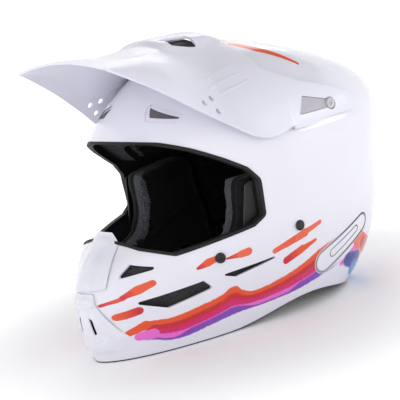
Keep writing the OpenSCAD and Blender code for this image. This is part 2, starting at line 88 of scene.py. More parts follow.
def make_studio():
    scene.view_settings.view_transform = "Standard"
    world = bpy.data.worlds.new("studio")
    scene.world = world
    world.use_nodes = True
    sky = world.node_tree.nodes["Background"]
    sky.inputs["Color"].default_value = (0.985, 0.985, 1.0, 1)
    sky.inputs["Strength"].default_value = 0.32
    area_light("key", (0.5, -0.9, 1.7), (0, 0, 0.15), (2.0, 2.0), 6, (1, 0.995, 0.99))
    area_light("side strip", (1.55, 1.4, 0.62), (0.1, 0.05, 0.16), (1.0, 0.3), 4, (0.98, 0.98, 1))
    area_light("front", (-0.7, -1.9, 0.7), (0, 0, 0.12), (1.0, 1.0), 2, (0.97, 0.97, 1))
    area_light("back", (-1.2, 1.2, 1.4), (0, 0, 0.12), (1.0, 1.0), 6, (0.98, 0.98, 1))
    points = [(0.0, 0.0, 0.0)]
    for reach, height in FLOOR_SECTION:
        for i in range(FLOOR_TURNS):
            angle = 2 * math.pi * i / FLOOR_TURNS
            points.append((reach * math.cos(angle), reach * math.sin(angle), height))
    faces = [(0, 1 + i, 1 + (i + 1) % FLOOR_TURNS) for i in range(FLOOR_TURNS)]
    for ring in range(len(FLOOR_SECTION) - 1):
        low = 1 + ring * FLOOR_TURNS
        high = low + FLOOR_TURNS
        for i in range(FLOOR_TURNS):
            after = (i + 1) % FLOOR_TURNS
            faces.append((low + i, high + i, high + after, low + after))
    mesh = bpy.data.meshes.new("floor")
    mesh.from_pydata(points, [], faces)
    mesh.shade_smooth()
    floor = bpy.data.objects.new("floor", mesh)
    scene.collection.objects.link(floor)
    paper = bpy.data.materials.new("studio_floor")
    paper.use_nodes = True
    shader = paper.node_tree.nodes["Principled BSDF"]
    shader.inputs["Base Color"].default_value = (0.95, 0.95, 0.955, 1)
    shader.inputs["Roughness"].default_value = 0.75
    shader.inputs["Emission Color"].default_value = (1, 1, 1, 1)
    place = paper.node_tree.nodes.new("ShaderNodeTexCoord")
    away = paper.node_tree.nodes.new("ShaderNodeVectorMath")
    away.operation = "LENGTH"
    lit = paper.node_tree.nodes.new("ShaderNodeMapRange")
    lit.interpolation_type = "SMOOTHSTEP"
    lit.inputs["From Min"].default_value = GLOW_START
    lit.inputs["From Max"].default_value = GLOW_END
    lit.inputs["To Min"].default_value = GLOW_NEAR
    lit.inputs["To Max"].default_value = GLOW_FAR
    paper.node_tree.links.new(away.inputs[0], place.outputs["Object"])
    paper.node_tree.links.new(lit.inputs["Value"], away.outputs["Value"])
    paper.node_tree.links.new(shader.inputs["Emission Strength"], lit.outputs["Result"])
    mesh.materials.append(paper)


# ---------------------------------------------------------------- the shell's form
# Rows from the neck edge to the crown, in mm: height, half width, front, back,
# place of the widest point, front and back squareness.
FORM = np.array([
    [0, 82, -174, 112, 30, 1.75, 2.5],
    [18, 93, -177.5, 131, 30, 1.75, 2.5],
    [42, 103, -178.5, 148, 32, 1.75, 2.5],
    [66, 110, -175.5, 159, 35, 1.8, 2.4],
    [90, 115, -160, 169, 38, 1.9, 2.4],
    [112, 117, -139, 174, 40, 2.0, 2.3],
    [140, 118, -130, 178, 46, 2.2, 2.3],
    [168, 116.5, -123, 181, 52, 2.3, 2.4],
    [190, 112, -112, 175, 56, 2.4, 2.4],
    [210, 102, -96, 155, 56, 2.4, 2.4],
    [228, 87, -76, 123, 50, 2.3, 2.3],
    [244, 67, -54, 87, 38, 2.2, 2.2],
    [256, 43, -31, 53, 23, 2.1, 2.1],
    [263, 20, -11, 28, 11, 2.0, 2.0],
    [265, 0, 8, 8, 8, 2.0, 2.0],
])
ROWS = len(FORM)
WALL = 3.0
CROWN = np.array([0.0, FORM[-1][4], FORM[-1][0]])


def smooth_rows(table, v, before, after):
    """Catmull-Rom through the rows of a table."""
    full = np.vstack([before, table, after])
    v = np.clip(np.asarray(v, float), 0, len(table) - 1)
    i = np.minimum(v.astype(int), len(table) - 2)
    t = (v - i)[..., None]
    a, b, c, d = full[i], full[i + 1], full[i + 2], full[i + 3]
    return 0.5 * (2 * b + (c - a) * t + (2 * a - 5 * b + 4 * c - d) * t**2 + (3 * b - a - 3 * c + d) * t**3)


def ring_at(v):
    last, top = FORM[-2], FORM[-1]
    over = np.array([last[0], -last[1], 2 * top[2] - last[2], 2 * top[3] - last[3],
                     2 * top[4] - last[4], last[5], last[6]])
    return smooth_rows(FORM, v, 2 * FORM[0] - FORM[1], over)


def lean(v):
    """0 on an upright wall, 1 on the crown."""
    v = np.asarray(v, float)
    a, b = ring_at(np.maximum(v - 0.1, 0)), ring_at(np.minimum(v + 0.1, ROWS - 1))
    fall = (a[..., 1] - b[..., 1]) / 2 + ((a[..., 3] - a[..., 2]) - (b[..., 3] - b[..., 2])) / 4
    rise = b[..., 0] - a[..., 0]
    out = np.clip(fall / np.hypot(fall, rise), 0, 1)
    return np.where(v > ROWS - 1.05, 1.0, out)


LEVELS = np.linspace(0, ROWS - 1, 1500)
HEIGHTS = ring_at(LEVELS)[:, 0]


def level(z):
    return np.interp(z, HEIGHTS, LEVELS)


def form_point(v, a, inward=0.0):
    """Points of the shell's form at row v and turn a in degrees (0 in front, 90 on the left)."""
    depth = np.asarray(inward, float)
    side, front, back, top = depth if depth.ndim == 1 else [depth] * 4
    v, a = np.broadcast_arrays(np.asarray(v, float), np.asarray(a, float))
    r, n = ring_at(v), lean(v)
    h = np.sqrt(1 - n**2)
    mid = r[..., 4]
    w = np.maximum(r[..., 1] - side * h, 0.02)
    yf = np.minimum(r[..., 2] + front * h, mid - 0.02)
    yb = np.maximum(r[..., 3] - back * h, mid + 0.02)
    s, c = np.sin(np.radians(a)), -np.cos(np.radians(a))
    p = np.where(c < 0, r[..., 5], r[..., 6])
    reach = np.where(c < 0, mid - yf, yb - mid)
    x = w * np.sign(s) * np.abs(s) ** (2 / p)
    y = mid + reach * np.sign(c) * np.abs(c) ** (2 / p)
    return np.stack([x, y, r[..., 0] - top * n], -1)


def side_x(y, z):
    """Half width of the shell's outside at (y, z)."""
    r = ring_at(level(z))
    ahead = y < r[..., 4]
    p = np.where(ahead, r[..., 5], r[..., 6])
    reach = np.where(ahead, r[..., 4] - r[..., 2], r[..., 3] - r[..., 4])
    k = np.minimum(np.abs(y - r[..., 4]) / reach, 1)
    return r[..., 1] * (1 - k**p) ** (1 / p)


def front_y(x, z):
    """Place of the shell's front at (x, z)."""
    r = ring_at(level(z))
    k = np.minimum(np.abs(x) / r[..., 1], 1)
    return r[..., 4] - (r[..., 4] - r[..., 2]) * (1 - k ** r[..., 5]) ** (1 / r[..., 5])


# ---------------------------------------------------------------- mesh helpers
def make_piece(name, points, faces, scale=MM):
    mesh = bpy.data.meshes.new(name)
    mesh.from_pydata([tuple(p) for p in np.asarray(points) * scale], [], [tuple(f) for f in faces])
    mesh.validate()
    piece = bpy.data.objects.new(name, mesh)
    scene.collection.objects.link(piece)
    return piece


def outward(piece):
    b = bmesh.new()
    b.from_mesh(piece.data)
    bmesh.ops.remove_doubles(b, verts=b.verts, dist=1e-6)
    bmesh.ops.recalc_face_normals(b, faces=b.faces)
    b.to_mesh(piece.data)
    b.free()
    return piece


def settle(piece):
    """Turns the modifiers into plain mesh."""
    mesh = bpy.data.meshes.new_from_object(piece.evaluated_get(bpy.context.evaluated_depsgraph_get()))
    piece.modifiers.clear()
    piece.data = mesh
    return piece


def shade(piece, angle=35):
    for face in piece.data.polygons:
        face.use_smooth = True
    piece.data.set_sharp_from_angle(angle=math.radians(angle))
    return piece


def grid_faces(rows, cols, start=0, wrap=False):
    faces = []
    for i in range(rows - 1):
        for j in range(cols if wrap else cols - 1):
            k = (j + 1) % cols
            low = start + i * cols
            high = low + cols
            faces.append((low + j, low + k, high + k, high + j))
    return faces


def skin_solid(name, inward=0.0, drop=0.0, rows=120, cols=160, shape=None):
    """The closed form of the shell moved inward, carried down by drop at its foot."""
    v = np.linspace(0, ROWS - 1, rows + 1)[:-1]
    a = np.arange(cols) * 360 / cols
    points = form_point(v[:, None], a[None, :], inward)
    if shape:
        points = shape(points, v[:, None] + 0 * a[None, :], a[None, :] + 0 * v[:, None])
    if drop:
        foot = points[:1] - np.array([0, 0, drop])
        points = np.concatenate([foot, points])
    flat = points.reshape(-1, 3)
    depth = np.asarray(inward, float)
    top = depth[3] if depth.ndim == 1 else float(depth)
    n = len(flat)
    peak_point = CROWN - np.array([0, 0, top])
    if shape:
        peak_point = np.array([0, CROWN[1], points[-1, :, 2].mean() + 0.02])
    faces = grid_faces(len(points), cols, wrap=True)
    faces.append(tuple(range(cols))[::-1])
    faces += [(n - cols + j, n - cols + (j + 1) % cols, n) for j in range(cols)]
    return outward(make_piece(name, np.vstack([flat, peak_point]), faces))


def boolean(piece, tools, operation="DIFFERENCE"):
    for tool in tools:
        modifier = piece.modifiers.new("cut", "BOOLEAN")
        modifier.operation = operation
        modifier.solver = "MANIFOLD"
        modifier.object = tool
        settle(piece)
    for tool in tools:
        bpy.data.objects.remove(tool)
    return piece


def rounded(points, r, steps=5):
    """A polygon grown by r with round outer corners."""
    p = np.array(points, float)
    if np.sum(p[:, 0] * np.roll(p[:, 1], -1) - np.roll(p[:, 0], -1) * p[:, 1]) < 0:
        p = p[::-1]
    out = []
    for i in range(len(p)):
        a = p[i] - p[i - 1]
        b = p[(i + 1) % len(p)] - p[i]
        a, b = a / np.linalg.norm(a), b / np.linalg.norm(b)
        na, nb = np.array([a[1], -a[0]]), np.array([b[1], -b[0]])
        turn = a[0] * b[1] - a[1] * b[0]
        if turn > 0:
            start = math.atan2(na[1], na[0])
            sweep = math.acos(max(-1, min(1, float(na @ nb))))
            n = max(1, int(round(steps * sweep / 1.2)))
            for k in range(n + 1):
                angle = start + sweep * k / n
                out.append(p[i] + r * np.array([math.cos(angle), math.sin(angle)]))
        else:
            out.append(p[i] + r * (na + nb) / (1 + na @ nb))
    return np.array(out)


def soften(outline, times=2):
    for _ in range(times):
        nxt = np.roll(outline, -1, axis=0)
        outline = np.stack([0.75 * outline + 0.25 * nxt, 0.25 * outline + 0.75 * nxt], 1).reshape(-1, 2)
    return outline


def prism(outline, axis, low, high):
    """An outline carried along an axis: (y, z) along x, (x, z) along y, (x, y) along z."""
    n = len(outline)
    ends = []
    for at in (low, high):
        for p in outline:
            ends.append({"x": (at, p[0], p[1]), "y": (p[0], at, p[1]), "z": (p[0], p[1], at)}[axis])
    faces = [tuple(range(n)), tuple(range(2 * n - 1, n - 1, -1))]
    faces += [(i, n + i, n + (i + 1) % n, (i + 1) % n) for i in range(n)]
    return outward(make_piece("tool", ends, faces))


def mirrored(outline):
    return np.array([[-p[0], p[1]] for p in outline])[::-1]


# ---------------------------------------------------------------- openings
PORT = [(-37, 110), (-37, 139), (-45, 150), (-63, 163), (-84, 177), (-100, 186), (-118, 191), (-200, 196),
        (-200, 120), (-142, 117), (-131, 105), (-113, 96.5), (-78, 101), (-46, 105)]
LONG_VENT = [(-147, 54), (-126, 45.5), (-90, 53.5), (-96, 60)]
THIN_VENT = [(-75.5, 61.5), (-66, 58), (-27, 64)]
UPPER_VENT = [(41, 88), (35, 80), (57, 83.5)]
BROW_VENT = [(32, 219), (36.5, 212.8), (62.5, 208.8)]
CROWN_VENT = [(22, -36), (30, -36), (30, -16), (22, -16)]
REAR_VENT = [(18, 138), (44, 132), (42, 124), (20, 126)]
MOUTH = [(-12, 54), (-15, 47), (-16, 36), (-12, 24), (12, 24), (16, 36), (15, 47), (12, 54)]
PORT_ROUND = 6
ARCH_H, ARCH_Y, ARCH_REACH = 13, 16, 88


def port_outline(grow=0.0):
    return soften(rounded(PORT, PORT_ROUND + grow))


def arch(y):
    y = np.asarray(y, float)
    k = np.clip(np.abs(y - ARCH_Y) / ARCH_REACH, 0, 1)
    return ARCH_H * np.cos(np.pi / 2 * k) ** 2


def below_edge(rise):
    ys = np.linspace(-90, 120, 60)
    line = [(-240, rise)] + [(y, float(arch(y)) + rise) for y in ys] + [(240, rise), (240, -60), (-240, -60)]
    return prism(np.array(line), "x", -160, 160)


def vent_tools(grow=0.0, chin=True, brow=True, crown=True, rear=True):
    tools = []
    for sign in (1, -1):
        if chin:
            low, high = sorted((sign * 30, sign * 130))
            tools.append(prism(rounded(LONG_VENT, 1.5 + grow), "x", low, high))
            low, high = sorted((sign * 70, sign * 130))
            tools.append(prism(rounded(THIN_VENT, 1 + grow), "x", low, high))
        fronts = []
        if chin:
            fronts.append((UPPER_VENT, 1.5, -190, -110))
        if brow:
            fronts.append((BROW_VENT, 0.7, -130, -40))
        if rear:
            fronts.append((REAR_VENT, 3, 120, 200))
        for outline, r, low, high in fronts:
            shape = rounded(outline, r + grow)
            tools.append(prism(shape if sign > 0 else mirrored(shape), "y", low, high))
        if crown:
            shape = rounded(CROWN_VENT, 3 + grow)
            tools.append(prism(shape if sign > 0 else mirrored(shape), "z", 225, 290))
    return tools


# ---------------------------------------------------------------- material wiring
def material(name):
    mat = bpy.data.materials.new(name)
    mat.use_nodes = True
    tree = mat.node_tree
    return mat, tree, tree.nodes["Principled BSDF"]


class Wiring:
    """Short words for building a material's nodes."""

    def __init__(self, tree):
        self.tree = tree
        self.place = self.node("ShaderNodeTexCoord").outputs["Object"]

    def node(self, kind, **settings):
        made = self.tree.nodes.new(kind)
        for key, value in settings.items():
            setattr(made, key, value)
        return made

    def feed(self, socket, value):
        if isinstance(value, bpy.types.NodeSocket):
            self.tree.links.new(value, socket)
        elif value is not None:
            socket.default_value = value

    def math(self, operation, a, b=None, c=None, clamp=False):
        made = self.node("ShaderNodeMath", operation=operation, use_clamp=clamp)
        for socket, value in zip(made.inputs, (a, b, c)):
            self.feed(socket, value)
        return made.outputs[0]

    def span(self, value, low, high, out_low=0.0, out_high=1.0, soft=True):
        made = self.node("ShaderNodeMapRange", interpolation_type="SMOOTHSTEP" if soft else "LINEAR")
        names = ("Value", "From Min", "From Max", "To Min", "To Max")
        for name, v in zip(names, (value, low, high, out_low, out_high)):
            self.feed(made.inputs[name], v)
        return made.outputs[0]

    def mix(self, factor, a, b):
        made = self.node("ShaderNodeMix", data_type="RGBA")
        self.feed(made.inputs["Factor"], factor)
        for name, value in (("A", a), ("B", b)):
            socket = [s for s in made.inputs if s.name == name and s.type == "RGBA"][0]
            self.feed(socket, (*value, 1) if isinstance(value, tuple) and len(value) == 3 else value)
        return [s for s in made.outputs if s.type == "RGBA"][0]

    def noise(self, scale, detail=3.0, rough=0.5, at=None):
        made = self.node("ShaderNodeTexNoise")
        self.feed(made.inputs["Vector"], at or self.place)
        made.inputs["Scale"].default_value = scale
        made.inputs["Detail"].default_value = detail
        made.inputs["Roughness"].default_value = rough
        return made.outputs["Fac"]

    def cells(self, scale, feature="F1", at=None, output="Distance"):
        made = self.node("ShaderNodeTexVoronoi", feature=feature)
        self.feed(made.inputs["Vector"], at or self.place)
        made.inputs["Scale"].default_value = scale
        return made.outputs[output]

    def bump(self, height, strength, distance, after=None):
        made = self.node("ShaderNodeBump")
        made.inputs["Strength"].default_value = strength
        made.inputs["Distance"].default_value = distance
        self.feed(made.inputs["Height"], height)
        if after is not None:
            self.feed(made.inputs["Normal"], after)
        return made.outputs["Normal"]

    def attribute(self, name):
        return self.node("ShaderNodeAttribute", attribute_name=name).outputs["Fac"]

    def places(self):
        """(|x|, y, z) in mm."""
        made = self.node("ShaderNodeSeparateXYZ")
        self.feed(made.inputs[0], self.place)
        x, y, z = (self.math("MULTIPLY", s, 1000.0) for s in made.outputs)
        return self.math("ABSOLUTE", x), y, z

    def curve(self, value, points, low, high):
        """A smooth curve through (y, z) points, both in mm."""
        first, last = points[0][0], points[-1][0]
        made = self.node("ShaderNodeFloatCurve")
        line = made.mapping.curves[0]
        spots = [((p[0] - first) / (last - first), (p[1] - low) / (high - low)) for p in points]
        line.points[0].location = spots[0]
        line.points[1].location = spots[-1]
        for spot in spots[1:-1]:
            line.points.new(*spot)
        made.mapping.update()
        self.feed(made.inputs["Value"], self.span(value, first, last, soft=False))
        return self.math("MULTIPLY_ADD", made.outputs[0], high - low, low)

    def stroke(self, u, v, start, end, r_start, r_end):
        """(how far inside a tapered brush stroke, in mm; how far along it, 0 to 1)."""
        du, dv = end[0] - start[0], end[1] - start[1]
        long2 = du * du + dv * dv
        pu, pv = self.math("SUBTRACT", u, start[0]), self.math("SUBTRACT", v, start[1])
        dot = self.math("MULTIPLY_ADD", pu, du / long2, self.math("MULTIPLY", pv, dv / long2))
        along = self.math("MINIMUM", self.math("MAXIMUM", dot, 0.0), 1.0)
        eu = self.math("MULTIPLY_ADD", along, -du, pu)
        ev = self.math("MULTIPLY_ADD", along, -dv, pv)
        off = self.math("SQRT", self.math("MULTIPLY_ADD", eu, eu, self.math("MULTIPLY", ev, ev)))
        reach = self.math("MULTIPLY_ADD", along, r_end - r_start, r_start)
        return self.math("SUBTRACT", reach, off), along


# ---------------------------------------------------------------- paint
WHITE = (0.765, 0.76, 0.84)
ORANGE = (0.74, 0.07, 0.006)
RED = (0.54, 0.004, 0.014)
CORAL = (0.78, 0.11, 0.045)
MAGENTA = (0.60, 0.004, 0.13)
PINK = (0.76, 0.13, 0.56)
PURPLE = (0.2, 0.05, 0.42)
BLUE = (0.002, 0.035, 0.27)
CYAN = (0.005, 0.22, 0.56)
# The band's upper and lower edges along the side; places (y, z).
BAND_TOP = [(-150, 33), (-144, 35), (-126, 34), (-101, 38), (-80, 43), (-68, 48), (-60, 42), (-50, 38),
            (-36, 38.5), (-21, 41), (5, 48), (22, 55), (40, 60), (75, 64)]
BAND_LOW = [(-150, 18), (-144, 17), (-119, 11), (-91, 15.5), (-62, 20), (-36, 20.5), (4, 23), (29, 27.5),
            (61, 32), (75, 33)]
# Start, end, start and end half width, colours at both ends; places (y, z).
STROKES = [
    ((-99, 74.5), (-90, 77.5), 1.6, 3.6, RED, ORANGE),
    ((-90, 77.5), (-80, 80), 3.6, 2.4, ORANGE, ORANGE),
    ((-73, 76.5), (-58, 77), 1.0, 3.2, RED, CORAL),
    ((-60, 77), (-53, 77.5), 3.4, 3.8, CORAL, CORAL),
    ((-26, 70), (8, 78), 2.6, 4.2, CORAL, ORANGE),
    ((0, 76.5), (26, 83), 3.4, 2.2, CORAL, CORAL),
    ((-14, 57), (4, 63), 3.6, 3.9, RED, ORANGE),
    ((2, 62), (20, 67), 3.6, 1.8, ORANGE, ORANGE),
    ((-171, 56.5), (-158, 61), 1.4, 2.0, RED, ORANGE),
    ((-158, 62), (-147, 66.5), 2.0, 3.9, RED, ORANGE),
    ((-147, 66.5), (-136, 70.5), 3.9, 3.0, ORANGE, ORANGE),
    ((-163, 44), (-149, 47), 3.6, 3.8, ORANGE, RED),
    ((-157, 27), (-145, 32), 3.0, 4.4, ORANGE, ORANGE),
    ((-150, 22), (-140, 22), 4.0, 5.0, PINK, PINK),
]


# Soft patches low on the rear side; places (y, z).
REAR_PATCHES = [
    ((58, 31), (80, 37), 3.0, 8.0, PINK),
    ((84, 48), (110, 31), 9.0, 9.0, CORAL),
    ((94, 42), (114, 30), 6.0, 7.0, RED),
    ((68, 32), (84, 26), 7.0, 10.0, BLUE),
    ((82, 18), (98, 8), 8.0, 7.0, CYAN),
]
# Strokes that carry the patches on round the nape; places (x, z).
NAPE_STROKES = [
    ((84, 36), (30, 33), 7.0, 1.5, CORAL),
    ((76, 24), (44, 25), 5.5, 1.5, BLUE),
    ((66, 13), (30, 15), 4.5, 1.2, CYAN),
    ((70, 45), (48, 47), 3.4, 1.2, ORANGE),
]


def painted(w, base):
    """The racing graphics: a layered band, brush strokes, a plain outlined tab and rear patches."""
    x, y, z = w.places()
    grain = w.noise(55, 5, 0.6)
    fine = w.noise(260, 3, 0.6)
    rough = w.math("MULTIPLY_ADD", grain, 3.2, -1.6)
    low_side = w.span(z, 100, 96)
    top = w.math("ADD", w.curve(y, BAND_TOP, 0, 100), w.math("MULTIPLY", rough, 0.25))
    low = w.math("ADD", w.curve(y, BAND_LOW, 0, 100), w.math("MULTIPLY", rough, 0.35))
    part = w.math("DIVIDE", w.math("SUBTRACT", top, z), w.math("SUBTRACT", top, low))
    part = w.math("MULTIPLY_ADD", w.math("SUBTRACT", fine, 0.5), 0.09, part)
    ramp = w.node("ShaderNodeValToRGB")
    stops = [(0.0, ORANGE), (0.2, ORANGE), (0.27, RED), (0.42, RED), (0.5, MAGENTA), (0.66, MAGENTA),
             (0.72, PINK), (1.0, PINK)]
    marks = ramp.color_ramp.elements
    marks[0].position, marks[1].position = stops[0][0], stops[-1][0]
    for place, colour in stops[1:-1]:
        marks.new(place)
    for mark, (place, colour) in zip(marks, stops):
        mark.color = (*colour, 1)
    w.feed(ramp.inputs[0], part)
    thick = w.math("MAXIMUM", w.span(w.math("ABSOLUTE", w.math("ADD", y, 84.0)), 40, 22),
                   w.span(w.math("ABSOLUTE", w.math("SUBTRACT", y, 17.0)), 30, 14))
    edge = w.math("MULTIPLY_ADD", thick, -0.17, 0.9)
    violet = w.span(w.math("SUBTRACT", part, edge), -0.02, 0.02)
    band = w.mix(violet, ramp.outputs[0], PURPLE)
    inside = w.math("MULTIPLY", w.span(part, -0.02, 0.03), w.span(part, 1.03, 0.97))
    front_end = w.span(w.math("MULTIPLY_ADD", rough, 1.5, y), -149, -144)
    rear_end = w.span(w.math("ADD", y, rough), 62, 22)
    ends = w.math("MULTIPLY", front_end, rear_end)
    colour = w.mix(w.math("MULTIPLY", w.math("MULTIPLY", inside, ends), low_side), base, band)

    for start, end, r0, r1, c0, c1 in STROKES:
        depth, along = w.stroke(y, z, start, end, r0, r1)
        tone = w.mix(w.math("ADD", along, w.math("MULTIPLY", w.math("SUBTRACT", fine, 0.5), 0.5)), c0, c1)
        torn = w.math("ADD", depth, w.math("MULTIPLY", rough, 0.45))
        mask = w.math("MULTIPLY", w.span(torn, -0.35, 0.35), low_side)
        colour = w.mix(mask, colour, tone)

    for start, end, r0, r1, c0 in REAR_PATCHES:
        depth, along = w.stroke(y, z, start, end, r0, r1)
        mask = w.span(w.math("ADD", depth, rough), -1.2, 1.6)
        colour = w.mix(w.math("MULTIPLY", mask, low_side), colour, c0)

    behind = w.span(y, 108, 118)
    side = w.math("ABSOLUTE", x)
    for start, end, r0, r1, c0 in NAPE_STROKES:
        depth, along = w.stroke(side, z, start, end, r0, r1)
        mask = w.span(w.math("ADD", depth, w.math("MULTIPLY", rough, 0.6)), -0.5, 0.7)
        colour = w.mix(w.math("MULTIPLY", mask, behind), colour, c0)

    depth, along = w.stroke(y, z, (33, 42), (88, 64), 11.5, 9.0)
    clear = w.span(depth, -1.6, -1.2)
    ring = w.math("MULTIPLY", w.span(depth, -1.2, -0.7), w.span(depth, 1.7, 1.2))
    inner, _ = w.stroke(y, z, (44, 47), (78, 60.5), 4.2, 3.2)
    inner_ring = w.math("MULTIPLY", w.span(inner, -0.8, -0.4), w.span(inner, 0.9, 0.5))
    colour = w.mix(w.math("MULTIPLY", clear, low_side), colour, WHITE)
    tint = w.mix(along, (0.27, 0.27, 0.29), (0.03, 0.03, 0.035))
    colour = w.mix(w.math("MULTIPLY", w.math("MAXIMUM", ring, inner_ring), low_side), colour, tint)

    depth, along = w.stroke(x, y, (1, 11), (32, 20), 5.0, 5.0)
    for start, end, r0, r1 in (((32, 20), (59, 35), 5.0, 4.4), ((59, 35), (86, 59), 4.4, 1.6)):
        next_part, _ = w.stroke(x, y, start, end, r0, r1)
        depth = w.math("MAXIMUM", depth, next_part)
    crown = w.math("MULTIPLY", w.span(depth, -0.5, 0.6), w.span(z, 215, 228))
    return w.mix(crown, colour, w.mix(along, CORAL, ORANGE))


def gloss_white(name, tint, paint=None, roughness=0.2, coat=0.7, emboss=None, peel_depth=0.05):
    mat, tree, shader = material(name)
    w = Wiring(tree)
    base = w.mix(w.span(w.noise(9, 4), 0.3, 0.7), tint, tuple(c * 0.975 for c in tint))
    if paint:
        base = paint(w, base)
    w.feed(shader.inputs["Base Color"], base)
    w.feed(shader.inputs["Roughness"], w.span(w.noise(60, 3), 0.2, 0.8, roughness * 0.8, roughness * 1.25))
    shader.inputs["Coat Weight"].default_value = coat
    shader.inputs["Coat Roughness"].default_value = 0.05
    shader.inputs["IOR"].default_value = 1.48
    peel = w.bump(w.noise(420, 2), peel_depth, 0.0004)
    if emboss:
        peel = w.bump(emboss(w), 1.0, 0.0003, peel)
    w.feed(shader.inputs["Normal"], peel)
    return mat


def tail_stripe(w, base):
    """The crown's stripe starts on the rear of the peak's deck."""
    x, y, z = w.places()
    depth, _ = w.stroke(x, y, (0, -16), (0, 30), 3.6, 6.0)
    return w.mix(w.math("MULTIPLY", w.span(depth, -0.5, 0.6), w.span(z, 255, 262)), base, CORAL)


def speed_lines(w):
    """Three slanted bars pressed faintly into the peak's wings."""
    _, y, z = w.places()
    height = None
    bars = [((-52, 236), (-12, 243), 2.4), ((-46, 229), (-10, 235.5), 1.9), ((-38, 222.5), (-8, 228), 1.5)]
    for start, end, r in bars:
        depth, _ = w.stroke(y, z, start, end, r, r * 0.35)
        bar = w.span(depth, -0.5, 0.5)
        height = bar if height is None else w.math("MAXIMUM", height, bar)
    return height


def dark_solid(name, tint, grain=900.0, depth=0.25, roughness=0.75, sheen=0.0, specular=0.5, wear=1.6):
    mat, tree, shader = material(name)
    w = Wiring(tree)
    worn = tuple(c * wear for c in tint)
    w.feed(shader.inputs["Base Color"], w.mix(w.span(w.noise(25, 4), 0.3, 0.7), tint, worn))
    dull = w.span(w.noise(80, 3), 0.2, 0.8, roughness * 0.85, min(1, roughness * 1.12))
    w.feed(shader.inputs["Roughness"], dull)
    shader.inputs["Specular IOR Level"].default_value = specular
    if sheen:
        shader.inputs["Sheen Weight"].default_value = sheen
        shader.inputs["Sheen Roughness"].default_value = 0.5
    w.feed(shader.inputs["Normal"], w.bump(w.noise(grain, 3), depth, 0.0006))
    return mat


def bead_foam(name, tint):
    """Expanded bead foam: packed round beads with dark joints."""
    mat, tree, shader = material(name)
    w = Wiring(tree)
    gap = w.span(w.cells(230, "DISTANCE_TO_EDGE"), 0.0, 0.12)
    w.feed(shader.inputs["Base Color"], w.mix(gap, tuple(c * 0.4 for c in tint), tint))
    w.feed(shader.inputs["Roughness"], w.span(w.noise(90, 3), 0.2, 0.8, 0.75, 0.95))
    shader.inputs["Specular IOR Level"].default_value = 0.25
    w.feed(shader.inputs["Normal"], w.bump(gap, 0.5, 0.0005))
    return mat


def knit(name, tint, painted_light_grey=None, sheen=0.3, band=None):
    """Soft knit with small loops; where band is named, painted light shows there: a paler grey with dark
    holes on the faces that the band marks.
    """
    mat, tree, shader = material(name)
    w = Wiring(tree)
    loops = w.cells(900)
    base = w.mix(w.span(loops, 0.1, 0.6), tuple(c * 1.4 for c in tint), tuple(c * 0.5 for c in tint))
    height = w.math("MULTIPLY", loops, 0.5)
    # Painted light: the paler grey stands in for lamp light on the faces the band marks.
    if band:
        holes = w.span(w.cells(640), 0.22, 0.5)
        mesh = w.mix(holes, (0.004, 0.004, 0.005), painted_light_grey)
        mask = w.span(w.attribute(band), 0.35, 0.65)
        base = w.mix(mask, base, mesh)
        height = w.math("ADD", height, w.math("MULTIPLY", w.math("MULTIPLY", holes, mask), 2.0))
    base = w.mix(w.span(w.noise(18, 3), 0.35, 0.7), base, tuple(c * 0.7 for c in tint)) if not band else base
    w.feed(shader.inputs["Base Color"], base)
    w.feed(shader.inputs["Roughness"], w.span(w.noise(70, 3), 0.2, 0.8, 0.85, 0.98))
    shader.inputs["Specular IOR Level"].default_value = 0.2
    shader.inputs["Sheen Weight"].default_value = sheen
    shader.inputs["Sheen Roughness"].default_value = 0.45
    w.feed(shader.inputs["Normal"], w.bump(height, 0.6, 0.0006))
    return mat


def woven(name, tint):
    """Webbing: diagonal ribs across the strap, read from its own map."""
    mat, tree, shader = material(name)
    w = Wiring(tree)
    spread = w.node("ShaderNodeUVMap", uv_map="weave").outputs[0]
    split = w.node("ShaderNodeSeparateXYZ")
    w.feed(split.inputs[0], spread)
    across, along = split.outputs[0], split.outputs[1]
    zigzag = w.math("MULTIPLY", w.math("PINGPONG", across, 0.003), 900.0)
    rib = w.math("SINE", w.math("MULTIPLY_ADD", along, 4200.0, zigzag))
    cross = w.math("SINE", w.math("MULTIPLY", across, 5200.0))
    height = w.math("MULTIPLY_ADD", cross, 0.35, rib)
    dark, pale = (tuple(c * k for c in tint) for k in (0.45, 1.5))
    w.feed(shader.inputs["Base Color"], w.mix(w.span(height, -1.0, 1.2), dark, pale))
    w.feed(shader.inputs["Roughness"], w.span(w.noise(120, 3), 0.2, 0.8, 0.72, 0.9))
    shader.inputs["Sheen Weight"].default_value = 0.25
    w.feed(shader.inputs["Normal"], w.bump(height, 0.5, 0.0004))
    return mat


def perforated(name, tint):
    """A fine pressed mesh: round holes in staggered rows."""
    mat, tree, shader = material(name)
    w = Wiring(tree)
    holes = w.span(w.cells(520), 0.3, 0.45)
    w.feed(shader.inputs["Base Color"], w.mix(holes, (0.002, 0.002, 0.003), tint))
    w.feed(shader.inputs["Roughness"], w.span(w.noise(90, 2), 0.2, 0.8, 0.5, 0.7))
    w.feed(shader.inputs["Normal"], w.bump(holes, 0.7, 0.0005))
    return mat


def plated(name, tint, roughness=0.3):
    mat, tree, shader = material(name)
    w = Wiring(tree)
    dull = tuple(c * 0.8 for c in tint)
    w.feed(shader.inputs["Base Color"], w.mix(w.span(w.noise(40, 4), 0.3, 0.7), tint, dull))
    shader.inputs["Metallic"].default_value = 1.0
    w.feed(shader.inputs["Roughness"], w.span(w.noise(150, 4), 0.2, 0.8, roughness * 0.7, roughness * 1.5))
    w.feed(shader.inputs["Normal"], w.bump(w.noise(600, 3), 0.08, 0.0003))
    return mat


